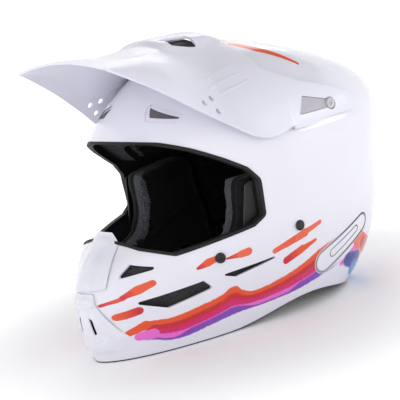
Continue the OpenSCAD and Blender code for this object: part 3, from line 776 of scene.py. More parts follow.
shell_white = gloss_white("shell_gloss_white", WHITE, painted, coat=0.45)
peak_white = gloss_white("peak_gloss_white", (0.75, 0.745, 0.84), tail_stripe, roughness=0.36, coat=0.22,
                         emboss=speed_lines, peel_depth=0.02)
trim_white = gloss_white("trim_satin_white", (0.75, 0.75, 0.835), roughness=0.3, coat=0.35)
shell_inside = dark_solid("shell_inside_coat", (0.012, 0.012, 0.014), grain=600, roughness=0.8, specular=0.3)
edge_rubber = dark_solid("edge_rubber", (0.006, 0.006, 0.007), roughness=0.62, specular=0.35)
foam_black = bead_foam("liner_foam", (0.012, 0.012, 0.015))
lining_black = knit("lining_knit", (0.006, 0.006, 0.008), sheen=0.12)
# The pads' knit carries painted light: a paler grey band where the pads face forward and up.
pad_knit = knit("pad_knit_painted_light", (0.006, 0.006, 0.008), (0.075, 0.08, 0.092), sheen=0.12, band="band")
roll_knit = knit("roll_knit", (0.009, 0.009, 0.011), sheen=0.2)
mesh_black = perforated("vent_mesh_black", (0.009, 0.009, 0.01))
moulded_black = dark_solid("moulded_black", (0.007, 0.007, 0.008), roughness=0.5)
insert_grey = dark_solid("insert_grey", (0.47, 0.45, 0.50), grain=700, depth=0.1, roughness=0.45, wear=0.9)
brow_grey = dark_solid("brow_insert_grey", (0.13, 0.11, 0.12), grain=700, depth=0.1, roughness=0.5, wear=0.7)
web_black = woven("strap_webbing", (0.016, 0.016, 0.018))
zinc = plated("zinc_plate", (0.55, 0.55, 0.57))


# ---------------------------------------------------------------- finishing a piece
def finish_piece(piece, finish, node, body="helmet", angle=38):
    piece.data.materials.clear()
    piece.data.materials.append(finish)
    shade(piece, angle)
    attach(piece, body)
    for one in [node] if isinstance(node, str) else node:
        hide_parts(one)
    return piece


def soft_edges(piece, width, segments=2, angle=35):
    bevel = piece.modifiers.new("edges", "BEVEL")
    bevel.width = width * MM
    bevel.segments = segments
    bevel.limit_method = "ANGLE"
    bevel.angle_limit = math.radians(angle)
    bevel.use_clamp_overlap = True
    return settle(piece)


def points_of(piece):
    flat = np.empty(len(piece.data.vertices) * 3)
    piece.data.vertices.foreach_get("co", flat)
    return flat.reshape(-1, 3) / MM


def put_points(piece, points):
    piece.data.vertices.foreach_set("co", (points * MM).ravel())
    piece.data.update()


def step(value, low, high):
    k = np.clip((np.asarray(value, float) - low) / (high - low), 0, 1)
    return k * k * (3 - 2 * k)


# ---------------------------------------------------------------- outer shell
CHEEK_SPOT, STRAP_SPOT, PIVOT = (-79, 79), (2, 87), (62, 189)


def peg(place, direction, radius, back, ahead, sides=32):
    """A round tool along a direction through a place."""
    turn = Vector(direction).to_track_quat("Z", "Y").to_matrix()
    angles = np.arange(sides) * 2 * math.pi / sides
    ring = [Vector((radius * math.cos(t), radius * math.sin(t), 0)) for t in angles]
    points = [Vector(place) + turn @ (p + Vector((0, 0, h))) for h in (-back, ahead) for p in ring]
    faces = [tuple(range(sides))[::-1], tuple(range(sides, 2 * sides))]
    faces += [(i, (i + 1) % sides, sides + (i + 1) % sides, sides + i) for i in range(sides)]
    return outward(make_piece("tool", points, faces))


def spot_place(spot):
    return float(side_x(np.array(float(spot[0])), float(spot[1])))


def spot_pegs(spot, radius, turn=0.0, back=20, ahead=20):
    tools = []
    for sign in (1, -1):
        a = math.radians(turn)
        direction = (sign * math.cos(a), -math.sin(a), 0)
        tools.append(peg((sign * spot_place(spot), *spot), direction, radius, back, ahead))
    return tools


def shell_relief(points, v, a):
    """Soft folds: a groove down each side of the nose and a shoulder over the ear."""
    x, y, z = np.abs(points[..., 0]), points[..., 1], points[..., 2]
    push = np.zeros_like(x)
    line = 170 - 0.03 * (y - 18)
    over = step(y, 2, 26) * step(y, 118, 92)
    push += 1.0 * np.exp(-(((z - line) / 5.0) ** 2)) * over
    push -= 1.2 * step(z, line + 2, line - 12) * step(z, line - 60, line - 25) * over
    face = step(y, -120, -140)
    push -= 1.4 * face * np.exp(-(((x - 24) / 9) ** 2)) * step(z, 20, 40) * step(z, 112, 96)
    centre = np.stack([np.zeros_like(x), np.full_like(x, 20.0), np.clip(z, 30, 150)], -1)
    away = points - centre
    away /= np.linalg.norm(away, axis=-1, keepdims=True)
    return points + away * push[..., None]


def make_shell():
    shell = skin_solid("shell", 0.0, rows=200, cols=260, shape=shell_relief)
    tools = [skin_solid("tool", WALL, drop=30, rows=110, cols=150), below_edge(1.3)]
    tools += [prism(port_outline(), "x", -160, 160), prism(soften(rounded(MOUTH, 2)), "y", -230, -120)]
    tools += vent_tools()
    tools += spot_pegs(CHEEK_SPOT, 2.2, 35) + spot_pegs(STRAP_SPOT, 2.7) + spot_pegs(PIVOT, 5.4)
    for sign in (1, -1):
        rim = soften(rounded(BROW_VENT, 3.4))
        recess = prism(rim if sign > 0 else mirrored(rim), "y", -130, -40)
        boolean(recess, [skin_solid("tool", 0.7, rows=90, cols=130)])
        tools.append(recess)
    boolean(shell, tools)
    finish_piece(shell, shell_white, "outer_shell", angle=32)
    shell.data.materials.append(shell_inside)
    for face in shell.data.polygons:
        centre = np.array(face.center) / MM
        away = centre - np.array([0.0, 20.0, min(max(centre[2], 30), 150)])
        if np.dot(away, face.normal) < -0.3 * np.linalg.norm(away):
            face.material_index = 1
    return shell


# ---------------------------------------------------------------- edge beads
def make_neck_bead():
    bead = skin_solid("neck_bead", 0.25, rows=120, cols=200)
    low = below_edge(0.0)
    hollow = skin_solid("tool", WALL + 1.4, drop=30, rows=100, cols=200)
    boolean(bead, [low, hollow])
    keep = below_edge(3.6)
    boolean(bead, [keep], "INTERSECT")
    groove = skin_solid("tool", -0.5, rows=100, cols=200)
    boolean(groove, [skin_solid("tool", WALL + 0.2, drop=30, rows=100, cols=200)])
    boolean(groove, [below_edge(1.2)])
    boolean(bead, [groove])
    return finish_piece(bead, edge_rubber, "neck_edge_trim")


def make_port_bead():
    bead = skin_solid("port_bead", -0.7, rows=170, cols=240)
    boolean(bead, [skin_solid("tool", WALL + 2.2, drop=30, rows=120, cols=200),
                   prism(soften(rounded(PORT, PORT_ROUND - 2.5)), "x", -160, 160)])
    keep = prism(soften(rounded(PORT, PORT_ROUND + 0.35)), "x", -160, 160)
    boolean(bead, [keep], "INTERSECT")
    groove = skin_solid("tool", -0.1, rows=120, cols=200)
    boolean(groove, [skin_solid("tool", WALL + 0.3, drop=30, rows=120, cols=200),
                     prism(port_outline(-0.15), "x", -160, 160)])
    boolean(bead, [groove])
    return finish_piece(bead, edge_rubber, "eye_port_trim")


# ---------------------------------------------------------------- nose guard and mouth cover
GUARD = [(-22, 74), (-21.5, 90), (-19, 106), (-10, 113), (10, 113), (19, 106), (21.5, 90), (22, 74)]
COVER = [(-12, 66), (-14, 54), (-34, 22), (-24, 11), (24, 11), (34, 22), (14, 54), (12, 66)]


def front_plate(name, outline, centre, outer, inner, rings=26):
    """A plate laid on the shell's front: outline (x, z), outer(x, z, k) its height, k 1 at the edge."""
    ks = 1 - (1 - np.linspace(0, 1, rings)) ** 1.7
    out = np.array(outline)
    centre = np.array(centre, float)
    n = len(out)
    points, faces = [], []

    def lay(k, height):
        p = centre + (out - centre) * k
        y = front_y(p[:, 0], p[:, 1]) - height(p[:, 0], p[:, 1], k)
        return np.stack([p[:, 0], y, p[:, 1]], 1)

    layers = [lay(k, outer) for k in ks[1:]] + [lay(k, inner) for k in ks[:0:-1]]
    for ring in layers:
        points += list(ring)
    faces += grid_faces(len(layers), n, wrap=True)
    for first, height in ((0, outer), ((len(layers) - 1) * n, inner)):
        middle = len(points)
        y = front_y(centre[0], centre[1]) - height(centre[0], centre[1], 0.0)
        points.append((centre[0], float(y), centre[1]))
        faces += [(first + i, first + (i + 1) % n, middle) for i in range(n)]
    return outward(make_piece(name, points, faces))


def dense(outline, gap=1.0):
    """The same outline with a point about every gap mm."""
    out = []
    for a, b in zip(outline, np.roll(outline, -1, axis=0)):
        n = max(1, int(np.linalg.norm(b - a) / gap))
        out += [a + (b - a) * i / n for i in range(n)]
    return np.array(out)


def back_face(x, z, k):
    """A plate's back lies this far off the shell, in mm."""
    return 0.35 + 0 * x


def make_guard():
    def outer(x, z, k):
        ax = np.abs(x)
        ridge = 2.9 * step(ax, 22, 9.5) * step(z, 118, 108)
        return 0.4 + ridge * (1 - step(k, 0.8, 1.0) * step(z, 73, 79) * 0.9)

    outline = dense(soften(rounded(GUARD, 3)))
    plate = front_plate("nose_guard_plate", outline, (0, 90), outer, back_face)
    return finish_piece(plate, trim_white, "nose_guard", angle=50)


def make_cover():
    def outer(x, z, k):
        ax = np.abs(x)
        lip = step(z, 55, 57) * 1.5
        edge = 2.2 * (1 - step(k, 0.78, 1.0) * 0.97)
        dish = step(k, 0.62, 0.54) * step(z, 56, 52)
        groove = np.exp(-(((z - 60.5) / 1.1) ** 2)) * step(ax, 12, 9) * 1.3
        return 0.45 + edge + lip - 1.3 * dish - groove

    outline = dense(soften(rounded(COVER, 2)))
    plate = front_plate("mouth_cover", outline, (0, 34), outer, back_face, 34)
    tools = []
    for sign in (1, -1):
        slot = rounded([(7.0, 45), (9.6, 43.4), (11.4, 31), (9.6, 30)], 0.7)
        tools.append(prism(slot if sign > 0 else mirrored(slot), "y", -230, -100))
    boolean(plate, tools)
    return finish_piece(plate, trim_white, "mouth_vent_cover", angle=50)


# ---------------------------------------------------------------- peak
PEAK_FORM = np.array([
    [-147, 66, 272, 72, 271, 279],
    [-107, 52, 272, 84, 243, 276],
    [-75, 40, 271, 95, 217, 275],
    [-52, 32, 270, 106, 198, 274],
    [-28, 29, 269, 115, 180, 273],
    [-8, 31, 267, 117, 176, 272],
    [12, 33, 265, 117, 180, 270],
], float)
PEAK_T, PEAK_GAP, DECK_PART = 2.8, 2.5, 0.4
# Upper and lower edges of the peak's arms; places (y, z).
ARM_TOP = np.array([(12, 236), (24, 226), (38, 217), (56, 209.5), (74, 202), (86, 195.5), (93, 190),
                    (95.8, 184.5)], float)
ARM_LOW = np.array([(12, 176), (30, 176), (52, 178), (70, 177.5), (84, 177), (91, 178.5), (95, 181.5),
                    (96, 183)], float)
PEAK_VENT = [(22, -45), (31, -42), (34, -20), (25, -21)]
WING_HOLES = [(-64, 220), (-53, 221.5), (-55, 210)]


def peak_row(v):
    return smooth_rows(PEAK_FORM, v, 2 * PEAK_FORM[0] - PEAK_FORM[1], 2 * PEAK_FORM[-1] - PEAK_FORM[-2])


def clear_x(y, z):
    n = np.minimum(0.85, lean(level(z)))
    return side_x(y, z) + (PEAK_GAP + PEAK_T + 0.2) / np.sqrt(1 - n**2)


def hood(x, y):
    """The deck dips behind the tip, then a raised air hood stands over the crown."""
    ax = np.abs(x)
    dip = -3.6 * np.exp(-(((y + 92) / 26) ** 2)) * step(ax, 60, 30)
    rise = 4.6 * step(y, -62, -48) * step(y, 16, -2) * step(ax, 40, 30)
    return dip + rise


def peak_point(v, u):
    v, u = np.broadcast_arrays(np.asarray(v, float), np.asarray(u, float))
    r, a = peak_row(v), np.abs(u)
    deck = a < DECK_PART
    k = np.where(deck, a / DECK_PART, (a - DECK_PART) / (1 - DECK_PART))
    length = np.hypot(r[..., 3] - r[..., 1], r[..., 4] - r[..., 2])
    swell = np.where(deck, 0, np.minimum(8, 0.12 * length) * np.sin(np.pi * k))
    x = np.where(deck, r[..., 1] * k, r[..., 1] + (r[..., 3] - r[..., 1]) * k) + 0.6 * swell
    deck_z = r[..., 5] + (r[..., 2] - r[..., 5]) * k**2
    wing_z = r[..., 2] + (r[..., 4] - r[..., 2]) * k
    z = np.where(deck, deck_z, wing_z) + 0.5 * swell
    need = np.where(z < FORM[-1][0] - 0.5, clear_x(r[..., 0], z), 0)
    spread = (x + need + np.sqrt((x - need) ** 2 + 16)) / 2
    x = np.where(deck, x, spread)
    z = z + hood(x, r[..., 0])
    return np.stack([np.sign(u) * x, r[..., 0], z], -1)


def make_peak():
    rows, half = 96, 60
    u = np.linspace(-1, 1, 2 * half + 1)
    v = np.linspace(0, len(PEAK_FORM) - 1, rows)
    grid = peak_point(v[:, None], u[None, :])
    points = [tuple(p) for p in grid.reshape(-1, 3)]
    cols = len(u)
    faces = grid_faces(rows, cols)
    last = (rows - 1) * cols
    rear = grid[-1]
    for sign in (1, -1):
        order = list(range(cols - 1, half - 1, -1)) if sign > 0 else list(range(0, half + 1))
        band = [j for j in order if rear[j][2] < 237]
        z0 = np.array([rear[j][2] for j in band])
        part = (z0 - z0[0]) / (z0[-1] - z0[0])
        before = [last + j for j in band]
        for s in np.linspace(0, 1, 60)[1:]:
            y = 12 + (96 - 12) * (1 - (1 - s) ** 1.6)
            low, top = np.interp(y, ARM_LOW[:, 0], ARM_LOW[:, 1]), np.interp(y, ARM_TOP[:, 0], ARM_TOP[:, 1])
            if s == 1:
                low, top = 183.2, 184.4
            row = []
            for k in part:
                z = low + (top - low) * k
                row.append(len(points))
                points.append((sign * clear_x(np.array(y), np.array(z)), y, z))
            for i in range(len(band) - 1):
                quad = (before[i], before[i + 1], row[i + 1], row[i])
                faces.append(quad if sign < 0 else quad[::-1])
            before = row
    peak = make_piece("peak_shell", points, faces)
    b = bmesh.new()
    b.from_mesh(peak.data)
    bmesh.ops.remove_doubles(b, verts=b.verts, dist=2e-6)
    bmesh.ops.recalc_face_normals(b, faces=b.faces)
    up = sum((f.normal.z for f in b.faces if f.calc_center_median().z > 0.26), 0.0)
    if up < 0:
        bmesh.ops.reverse_faces(b, faces=b.faces)
    b.to_mesh(peak.data)
    b.free()
    solid = peak.modifiers.new("wall", "SOLIDIFY")
    solid.thickness = (PEAK_T - 0.6) * MM
    solid.offset = -1
    solid.use_even_offset = True
    settle(peak)
    soft_edges(peak, 0.9, 3, 50)
    tools = []
    for sign in (1, -1):
        vent = soften(rounded(PEAK_VENT, 3))
        tools.append(prism(vent if sign > 0 else mirrored(vent), "z", 240, 300))
        pocket = prism(wedge_outline(WEDGE, 1.1), "x", min(sign * 60, sign * 150), max(sign * 60, sign * 150))
        boolean(pocket, [skin_solid("tool", -(PEAK_GAP + PEAK_T - 1.5), rows=100, cols=160)])
        tools.append(pocket)
        for hole in WING_HOLES:
            tools.append(peg((sign * 90, *hole), (sign, 0, 0), 2.6, 40, 40))
    tools += spot_pegs(PIVOT, 6.0, 0, -3.0, 40) + spot_pegs(PIVOT, 3.8, 0, 20, 40)
    boolean(peak, tools)
    return finish_piece(peak, peak_white, "peak", "peak", angle=40)


def wedge_outline(points, r):
    return dense(soften(rounded(points, r), 1), 1.2)


WEDGE = [(33.5, 201.5), (24, 188), (62, 186.8), (65, 189), (64, 191.2)]


def make_arm_inserts():
    """The grey wedge in each arm; its rounded tip caps the pivot screw."""
    sides = []
    for sign in (1, -1):
        out = wedge_outline(WEDGE, 0.8)
        plate = prism(out, "x", min(sign * 60, sign * 150), max(sign * 60, sign * 150))
        boolean(plate, [skin_solid("tool", -(PEAK_GAP + 0.4), drop=30, rows=100, cols=160)])
        boolean(plate, [skin_solid("tool", -(PEAK_GAP + PEAK_T - 0.5), rows=100, cols=160)], "INTERSECT")
        sides.append(plate)
        x = spot_place(PIVOT)
        cap = [(5.4, 3.2), (5.4, 5.3), (5.0, 5.7), (3.4, 5.9), (0.5, 5.95)]
        sides.append(lathe_cap("cap", (sign * x, *PIVOT), (sign, 0, 0), cap))
    finish_piece(join("arm_wedges", sides), insert_grey, "peak_arm_inserts", "peak", angle=40)


def make_brow_inserts():
    sides = []
    for sign in (1, -1):
        out = rounded(BROW_VENT, 0.62)
        plate = prism(out if sign > 0 else mirrored(out), "y", -130, -40)
        boolean(plate, [skin_solid("tool", 1.2, rows=100, cols=160)], "INTERSECT")
        boolean(plate, [skin_solid("tool", 2.6, drop=30, rows=100, cols=160)])
        sides.append(plate)
    finish_piece(join("brow_wedges", sides), brow_grey, "brow_vent_inserts")


def make_scoop_meshes():
    """Dark mesh set just under each opening in the peak's deck."""
    sides = []
    for sign in (1, -1):
        points, faces = [], []
        xs, ys = np.linspace(18.5, 37.5, 20), np.linspace(-49, -16, 30)
        for drop in (4.4, 5.6):
            for y in ys:
                r = peak_row(np.interp(y, PEAK_FORM[:, 0], np.arange(len(PEAK_FORM))))
                for x in xs:
                    k = x / r[1]
                    z = r[5] + (r[2] - r[5]) * k**2 + float(hood(np.array(x), np.array(y))) - drop
                    points.append((sign * x, y, z))
        n = len(xs) * len(ys)
        faces = grid_faces(len(ys), len(xs)) + grid_faces(len(ys), len(xs), n)
        rim = [i for i in range(len(xs))] + [i * len(xs) + len(xs) - 1 for i in range(1, len(ys))]
        rim += [(len(ys) - 1) * len(xs) + i for i in range(len(xs) - 2, -1, -1)]
        rim += [i * len(xs) for i in range(len(ys) - 2, 0, -1)]
        for i, here in enumerate(rim):
            after = rim[(i + 1) % len(rim)]
            faces.append((here, after, n + after, n + here))
        sides.append(outward(make_piece("mesh", points, faces)))
    finish_piece(join("scoop_meshes", sides), mesh_black, "peak_scoop_meshes", "peak")


# ---------------------------------------------------------------- liners
LINER_OUT = 3.5
LINER_IN = np.array([29.5, 35.5, 35.5, 33.5])
COMFORT_T = 8.0


def below_liner(grow):
    front = [(-230, 152), (38, 152), (46, 140), (48, 70), (40, -20), (-230, -20)]
    rear = [(30, 62), (230, 62), (230, -20), (30, -20)]
    return [prism(soften(rounded(p, 4 + grow)), "x", -160, 160) for p in (front, rear)]


def make_impact_liner():
    liner = skin_solid("bead_foam_liner", LINER_OUT, rows=110, cols=150)
    tools = [skin_solid("tool", LINER_IN, drop=30, rows=100, cols=140)] + below_liner(0)
    tools += [prism(port_outline(5), "x", -160, 160)] + vent_tools(2.5, chin=False, brow=False)
    tools += spot_pegs(PIVOT, 7.8, 0, 18, 12)
    boolean(liner, tools)
    return finish_piece(liner, foam_black, "impact_liner")


def quilt(points, v, a):
    """Sewn channels in the lining: long panels from brow to nape, with cross rows."""
    x, z = np.abs(points[..., 0]), points[..., 2]
    channel = np.exp(-(((x - 17) / 1.9) ** 2)) + np.exp(-(((x - 46) / 1.9) ** 2)) * step(z, 120, 150)
    rows = np.abs((v * 1.0) % 1.0 - 0.5)
    channel = np.maximum(channel, np.exp(-(((rows) / 0.075) ** 2)) * step(x, 17, 21) * step(v, 11.6, 11.0))
    crown = np.stack([np.zeros_like(x), np.full_like(x, 25.0), np.full_like(x, 130.0)], -1)
    away = points - crown
    away /= np.linalg.norm(away, axis=-1, keepdims=True)
    puff = 1.3 * np.sin(np.clip(rows / 0.5, 0, 1) * np.pi / 2)
    return points + away * (2.6 * np.minimum(channel, 1) - puff * (1 - np.minimum(channel, 1)))[..., None]


def make_comfort_liner():
    liner = skin_solid("comfort_lining", LINER_IN + 0.5, rows=110, cols=150)
    inner = skin_solid("tool", LINER_IN + 0.5 + COMFORT_T - 1.0, drop=30, rows=190, cols=260, shape=quilt)
    boolean(liner, [inner] + below_liner(3) + [prism(port_outline(12), "x", -160, 160)])
    finish_piece(liner, lining_black, "comfort_liner", angle=60)
    return liner


def make_chin_foam():
    foam = skin_solid("chin_bar_foam", WALL + 3, rows=110, cols=160)
    boolean(foam, [skin_solid("tool", WALL + 21, drop=30, rows=110, cols=160)])
    outline = [(-200, 78), (-150, 80), (-136, 78), (-114, 74), (-110, 26), (-200, 26)]
    side = prism(rounded(outline, 4), "x", -160, 160)
    boolean(foam, [side], "INTERSECT")
    boolean(foam, [prism(rounded(MOUTH, 4), "y", -230, -120)] + vent_tools(3, True, False, False, False))
    return finish_piece(foam, foam_black, "chin_foam")


# ---------------------------------------------------------------- cushions
def inflate(piece, voxel, pressure, cap, frames=20):
    """Blows a cushion up as cloth, then holds every point within cap mm of where it was."""
    remesh = piece.modifiers.new("voxels", "REMESH")
    remesh.mode = "VOXEL"
    remesh.voxel_size = voxel * MM
    settle(piece)
    smooth = piece.modifiers.new("smooth", "SMOOTH")
    smooth.iterations = 6
    settle(piece)
    rest = points_of(piece)
    cloth = piece.modifiers.new("cloth", "CLOTH")
    cloth.settings.use_pressure = True
    cloth.settings.uniform_pressure_force = pressure
    cloth.settings.effector_weights.gravity = 0
    cloth.settings.quality = 5
    cloth.point_cache.frame_start = 1
    cloth.point_cache.frame_end = frames
    for frame_number in range(1, frames + 1):
        scene.frame_set(frame_number)
    settle(piece)
    scene.frame_set(1)
    moved = points_of(piece)
    shift = moved - rest
    size = np.linalg.norm(shift, axis=1, keepdims=True)
    put_points(piece, rest + shift * np.minimum(1, cap / np.maximum(size, 1e-6)))
    smoother = piece.modifiers.new("finer", "SUBSURF")
    smoother.levels = smoother.render_levels = 1
    return settle(piece)


def depth_in(points):
    """How far points lie inside the shell's side, in mm."""
    across = side_x(points[:, 1], points[:, 2]) - np.abs(points[:, 0])
    return across * np.sqrt(1 - lean(level(points[:, 2])) ** 2)


PAD = [(-36, 142), (28, 142), (36, 134), (38, 76), (30, 30), (-60, 25), (-92, 28), (-94, 70), (-78, 80),
       (-46, 90)]
PAD_OUT, PAD_THICK = 13.0, 30.0


def normals_of(piece):
    flat = np.empty(len(piece.data.vertices) * 3)
    piece.data.vertices.foreach_get("normal", flat)
    return flat.reshape(-1, 3)


def make_cheek_pads():
    pad = skin_solid("cheek_pad", PAD_OUT + 2.0, rows=90, cols=120)
    boolean(pad, [skin_solid("tool", PAD_OUT + PAD_THICK - 2.0, drop=30, rows=90, cols=120)])
    boolean(pad, [prism(soften(rounded(PAD, 3.0)), "x", 20, 140)], "INTERSECT")
    strap_slot = prism(np.array([(-12, 40), (16, 40), (16, 54), (-12, 54)]), "x", 30, 130)
    anchor_pocket = peg((spot_place(STRAP_SPOT), *STRAP_SPOT), (1, 0, 0), 9.5, 15, 10)
    boolean(pad, [strap_slot, anchor_pocket])
    inflate(pad, 4.0, 4.0, 3.2)
    places, normals = points_of(pad), normals_of(pad)
    deep = depth_in(places)
    seam = np.exp(-(((deep - 26) / 1.3) ** 2)) * step(np.abs(normals[:, 0]), 0.9, 0.6)
    panel = np.exp(-(((places[:, 2] - 92 - 0.25 * places[:, 1]) / 1.6) ** 2)) * step(deep, 36, 40)
    places = places - normals * (1.5 * np.maximum(seam, panel))[:, None]
    put_points(pad, places)
    # Painted light: the band marks the inner front of each pad where its faces turn forward and up, towards
    # the lamps; the knit is painted paler grey there.
    ahead = -normals[:, 1] + 0.35 * normals[:, 2]
    band = step(ahead, 0.1, 0.35) * step(deep, 28, 31) * step(places[:, 1], -20, -34)
    mark = pad.data.attributes.new("band", "FLOAT", "POINT")
    mark.data.foreach_set("value", band.astype(np.float32))
    other = pad.data.copy()
    mirror = bmesh.new()
    mirror.from_mesh(other)
    for vert in mirror.verts:
        vert.co.x = -vert.co.x
    bmesh.ops.reverse_faces(mirror, faces=mirror.faces)
    mirror.to_mesh(other)
    mirror.free()
    pad.name = "cheek_cushion_left"
    twin = bpy.data.objects.new("cheek_cushion_right", other)
    scene.collection.objects.link(twin)
    for piece, node in ((pad, "cheek_pad_left"), (twin, "cheek_pad_right")):
        finish_piece(piece, pad_knit, node, angle=70)


def make_neck_roll():
    roll = skin_solid("nape_roll", WALL + 3.0, rows=90, cols=140)
    boolean(roll, [skin_solid("tool", WALL + 17.5, drop=30, rows=90, cols=140)])
    outline = rounded([(64, 26), (64, 40), (64, 55), (100, 55), (200, 55), (200, 30), (200, 15), (90, 15)], 3)
    boolean(roll, [prism(outline, "x", -160, 160)], "INTERSECT")
    inflate(roll, 4.0, 4.0, 2.4)
    places, normals = points_of(roll), normals_of(roll)
    turn = np.degrees(np.arctan2(places[:, 0], places[:, 1] - 20))
    seam = sum(np.exp(-(((turn - at) / 1.3) ** 2)) for at in (-36, -12, 12, 36))
    put_points(roll, places - normals * (1.8 * np.minimum(seam, 1))[:, None])
    finish_piece(roll, roll_knit, "neck_roll", angle=70)


# ---------------------------------------------------------------- straps
STRAP_W, STRAP_T, STRAP_IN = 24.0, 2.0, WALL + 3.8


def smooth_line(points, gap=1.2):
    p = np.array(points, float)
    full = np.vstack([2 * p[0] - p[1], p, 2 * p[-1] - p[-2]])
    out = []
    for i in range(len(p) - 1):
        a, b, c, d = full[i : i + 4]
        n = max(2, int(np.linalg.norm(c - b) / gap))
        for t in np.arange(n) / n:
            square = (2 * a - 5 * b + 4 * c - d) * t**2
            cube = (3 * b - a - 3 * c + d) * t**3
            out.append(0.5 * (2 * b + (c - a) * t + square + cube))
    return np.array(out + [p[-1]])


def strap_piece(name, path, side):
    """Webbing of the strap's width swept along (x, z) places."""
    line = smooth_line(path)
    tangent = np.gradient(line, axis=0)
    tangent /= np.linalg.norm(tangent, axis=1, keepdims=True)
    normal = np.stack([-tangent[:, 1], tangent[:, 0]], 1)
    run = np.concatenate([[0], np.cumsum(np.linalg.norm(np.diff(line, axis=0), axis=1))])
    half, thick = STRAP_W / 2, STRAP_T / 2
    section = [(-half, 0), (-half + 0.5, thick), (-half + 6, thick), (0, thick), (half - 6, thick),
               (half - 0.5, thick), (half, 0), (half - 0.5, -thick), (half - 6, -thick), (0, -thick),
               (-half + 6, -thick), (-half + 0.5, -thick)]
    points = []
    for place, out in zip(line, normal):
        for w_across, h in section:
            points.append((side * (place[0] + out[0] * h), STRAP_SPOT[0] + w_across, place[1] + out[1] * h))
    n = len(section)
    faces = grid_faces(len(line), n, wrap=True)
    faces += [tuple(range(n))[::-1], tuple(range(len(points) - n, len(points)))]
    piece = outward(make_piece(name, points, faces))
    weave = piece.data.uv_layers.new(name="weave")
    places = points_of(piece)
    flat = places[:, [0, 2]] * np.array([side, 1])
    nearest = np.array([run[np.argmin(np.sum((line - p) ** 2, 1))] for p in flat])
    for loop in piece.data.loops:
        i = loop.vertex_index
        weave.data[loop.index].uv = ((places[i, 1] + 20) * MM, nearest[i] * MM)
    return piece


def strap_run():
    zs = [99, 90, 80, 70, 60, 53]
    return [(spot_place((STRAP_SPOT[0], z)) - STRAP_IN, z) for z in zs]


def make_straps():
    wall_run = strap_run()
    slot_in = (wall_run[-1][0] - 6, 47)
    round_rings = [slot_in, (60, 47), (50, 46), (46, 42.2), (44.6, 38), (43.6, 35.2), (41, 34.3), (34, 34.3),
                   (31.2, 35.4), (30.4, 38), (31.4, 40.8), (34, 41.9), (41, 42), (44, 43.6), (49, 48.4),
                   (57, 49.3)]
    left = wall_run + round_rings
    strap = strap_piece("buckle_strap", left, 1)
    finish_piece(strap, web_black, "chin_strap_left")
    right = wall_run + [slot_in, (60, 47), (51, 44), (47.5, 40), (46, 34), (46, 22), (46, 12)]
    tail = strap_piece("tail_strap", right, -1)
    boolean(tail, [peg((-46, STRAP_SPOT[0], 20), (1, 0, 0), 1.7, 12, 12)])
    finish_piece(tail, web_black, "chin_strap_right")


# ---------------------------------------------------------------- fasteners and stitches
def repeat_group():
    """Sets copies of one object along every line of a mesh."""
    group = bpy.data.node_groups.new("repeat_along_line", "GeometryNodeTree")
    face = group.interface
    face.new_socket("Line", in_out="INPUT", socket_type="NodeSocketGeometry")
    for name, kind, value in (("Piece", "NodeSocketObject", None), ("Spacing", "NodeSocketFloat", 0.003),
                              ("Size", "NodeSocketFloat", 1.0), ("Finish", "NodeSocketMaterial", None)):
        made = face.new_socket(name, in_out="INPUT", socket_type=kind)
        if value is not None:
            made.default_value = value
    face.new_socket("Geometry", in_out="OUTPUT", socket_type="NodeSocketGeometry")
    nodes, links = group.nodes, group.links
    start, end = nodes.new("NodeGroupInput"), nodes.new("NodeGroupOutput")
    curve = nodes.new("GeometryNodeMeshToCurve")
    spaced = nodes.new("GeometryNodeResampleCurve")
    spaced.mode = "LENGTH"
    tangent = nodes.new("GeometryNodeInputTangent")
    turn = nodes.new("FunctionNodeAlignRotationToVector")
    turn.axis = "X"
    info = nodes.new("GeometryNodeObjectInfo")
    put = nodes.new("GeometryNodeInstanceOnPoints")
    real = nodes.new("GeometryNodeRealizeInstances")
    paint = nodes.new("GeometryNodeSetMaterial")
    links.new(start.outputs["Line"], curve.inputs["Mesh"])
    links.new(curve.outputs["Curve"], spaced.inputs["Curve"])
    links.new(start.outputs["Spacing"], spaced.inputs["Length"])
    links.new(spaced.outputs["Curve"], put.inputs["Points"])
    links.new(tangent.outputs[0], turn.inputs["Vector"])
    links.new(turn.outputs[0], put.inputs["Rotation"])
    links.new(start.outputs["Piece"], info.inputs["Object"])
    links.new(info.outputs["Geometry"], put.inputs["Instance"])
    links.new(start.outputs["Size"], put.inputs["Scale"])
    links.new(put.outputs["Instances"], real.inputs[0])
    links.new(real.outputs[0], paint.inputs["Geometry"])
    links.new(start.outputs["Finish"], paint.inputs["Material"])
    links.new(paint.outputs[0], end.inputs[0])
    return group


REPEAT = repeat_group()


def repeated(name, lines, unit, spacing, finish, body="helmet", size=1.0):
    """Copies of unit along lines of points (mm), as one plain mesh."""
    points, edges = [], []
    for line in lines:
        base = len(points)
        points += [tuple(np.array(p) * MM) for p in line]
        edges += [(base + i, base + i + 1) for i in range(len(line) - 1)]
    mesh = bpy.data.meshes.new(name)
    mesh.from_pydata(points, edges, [])
    piece = bpy.data.objects.new(name, mesh)
    scene.collection.objects.link(piece)
    modifier = piece.modifiers.new("repeat", "NODES")
    values = {"Piece": unit, "Spacing": spacing * MM, "Size": size, "Finish": finish}
    modifier.node_group = REPEAT
    for item in REPEAT.interface.items_tree:
        if item.in_out == "INPUT" and item.name in values:
            modifier[item.identifier] = values[item.name]
    settle(piece)
    shade(piece, 60)
    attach(piece, body)
    return piece


def stitch_unit(length=2.2, radius=0.28):
    """One short thread, lying along X."""
    points, faces = [], []
    rings = [(-0.5, 0.15), (-0.4, 0.8), (0.0, 1.0), (0.4, 0.8), (0.5, 0.15)]
    for at, wide in rings:
        for t in np.arange(6) * math.pi / 3:
            points.append((at * length, radius * wide * math.cos(t), radius * wide * math.sin(t)))
    faces = grid_faces(len(rings), 6, wrap=True) + [tuple(range(6))[::-1], tuple(range(24, 30))]
    return outward(make_piece("stitch_unit", points, faces))


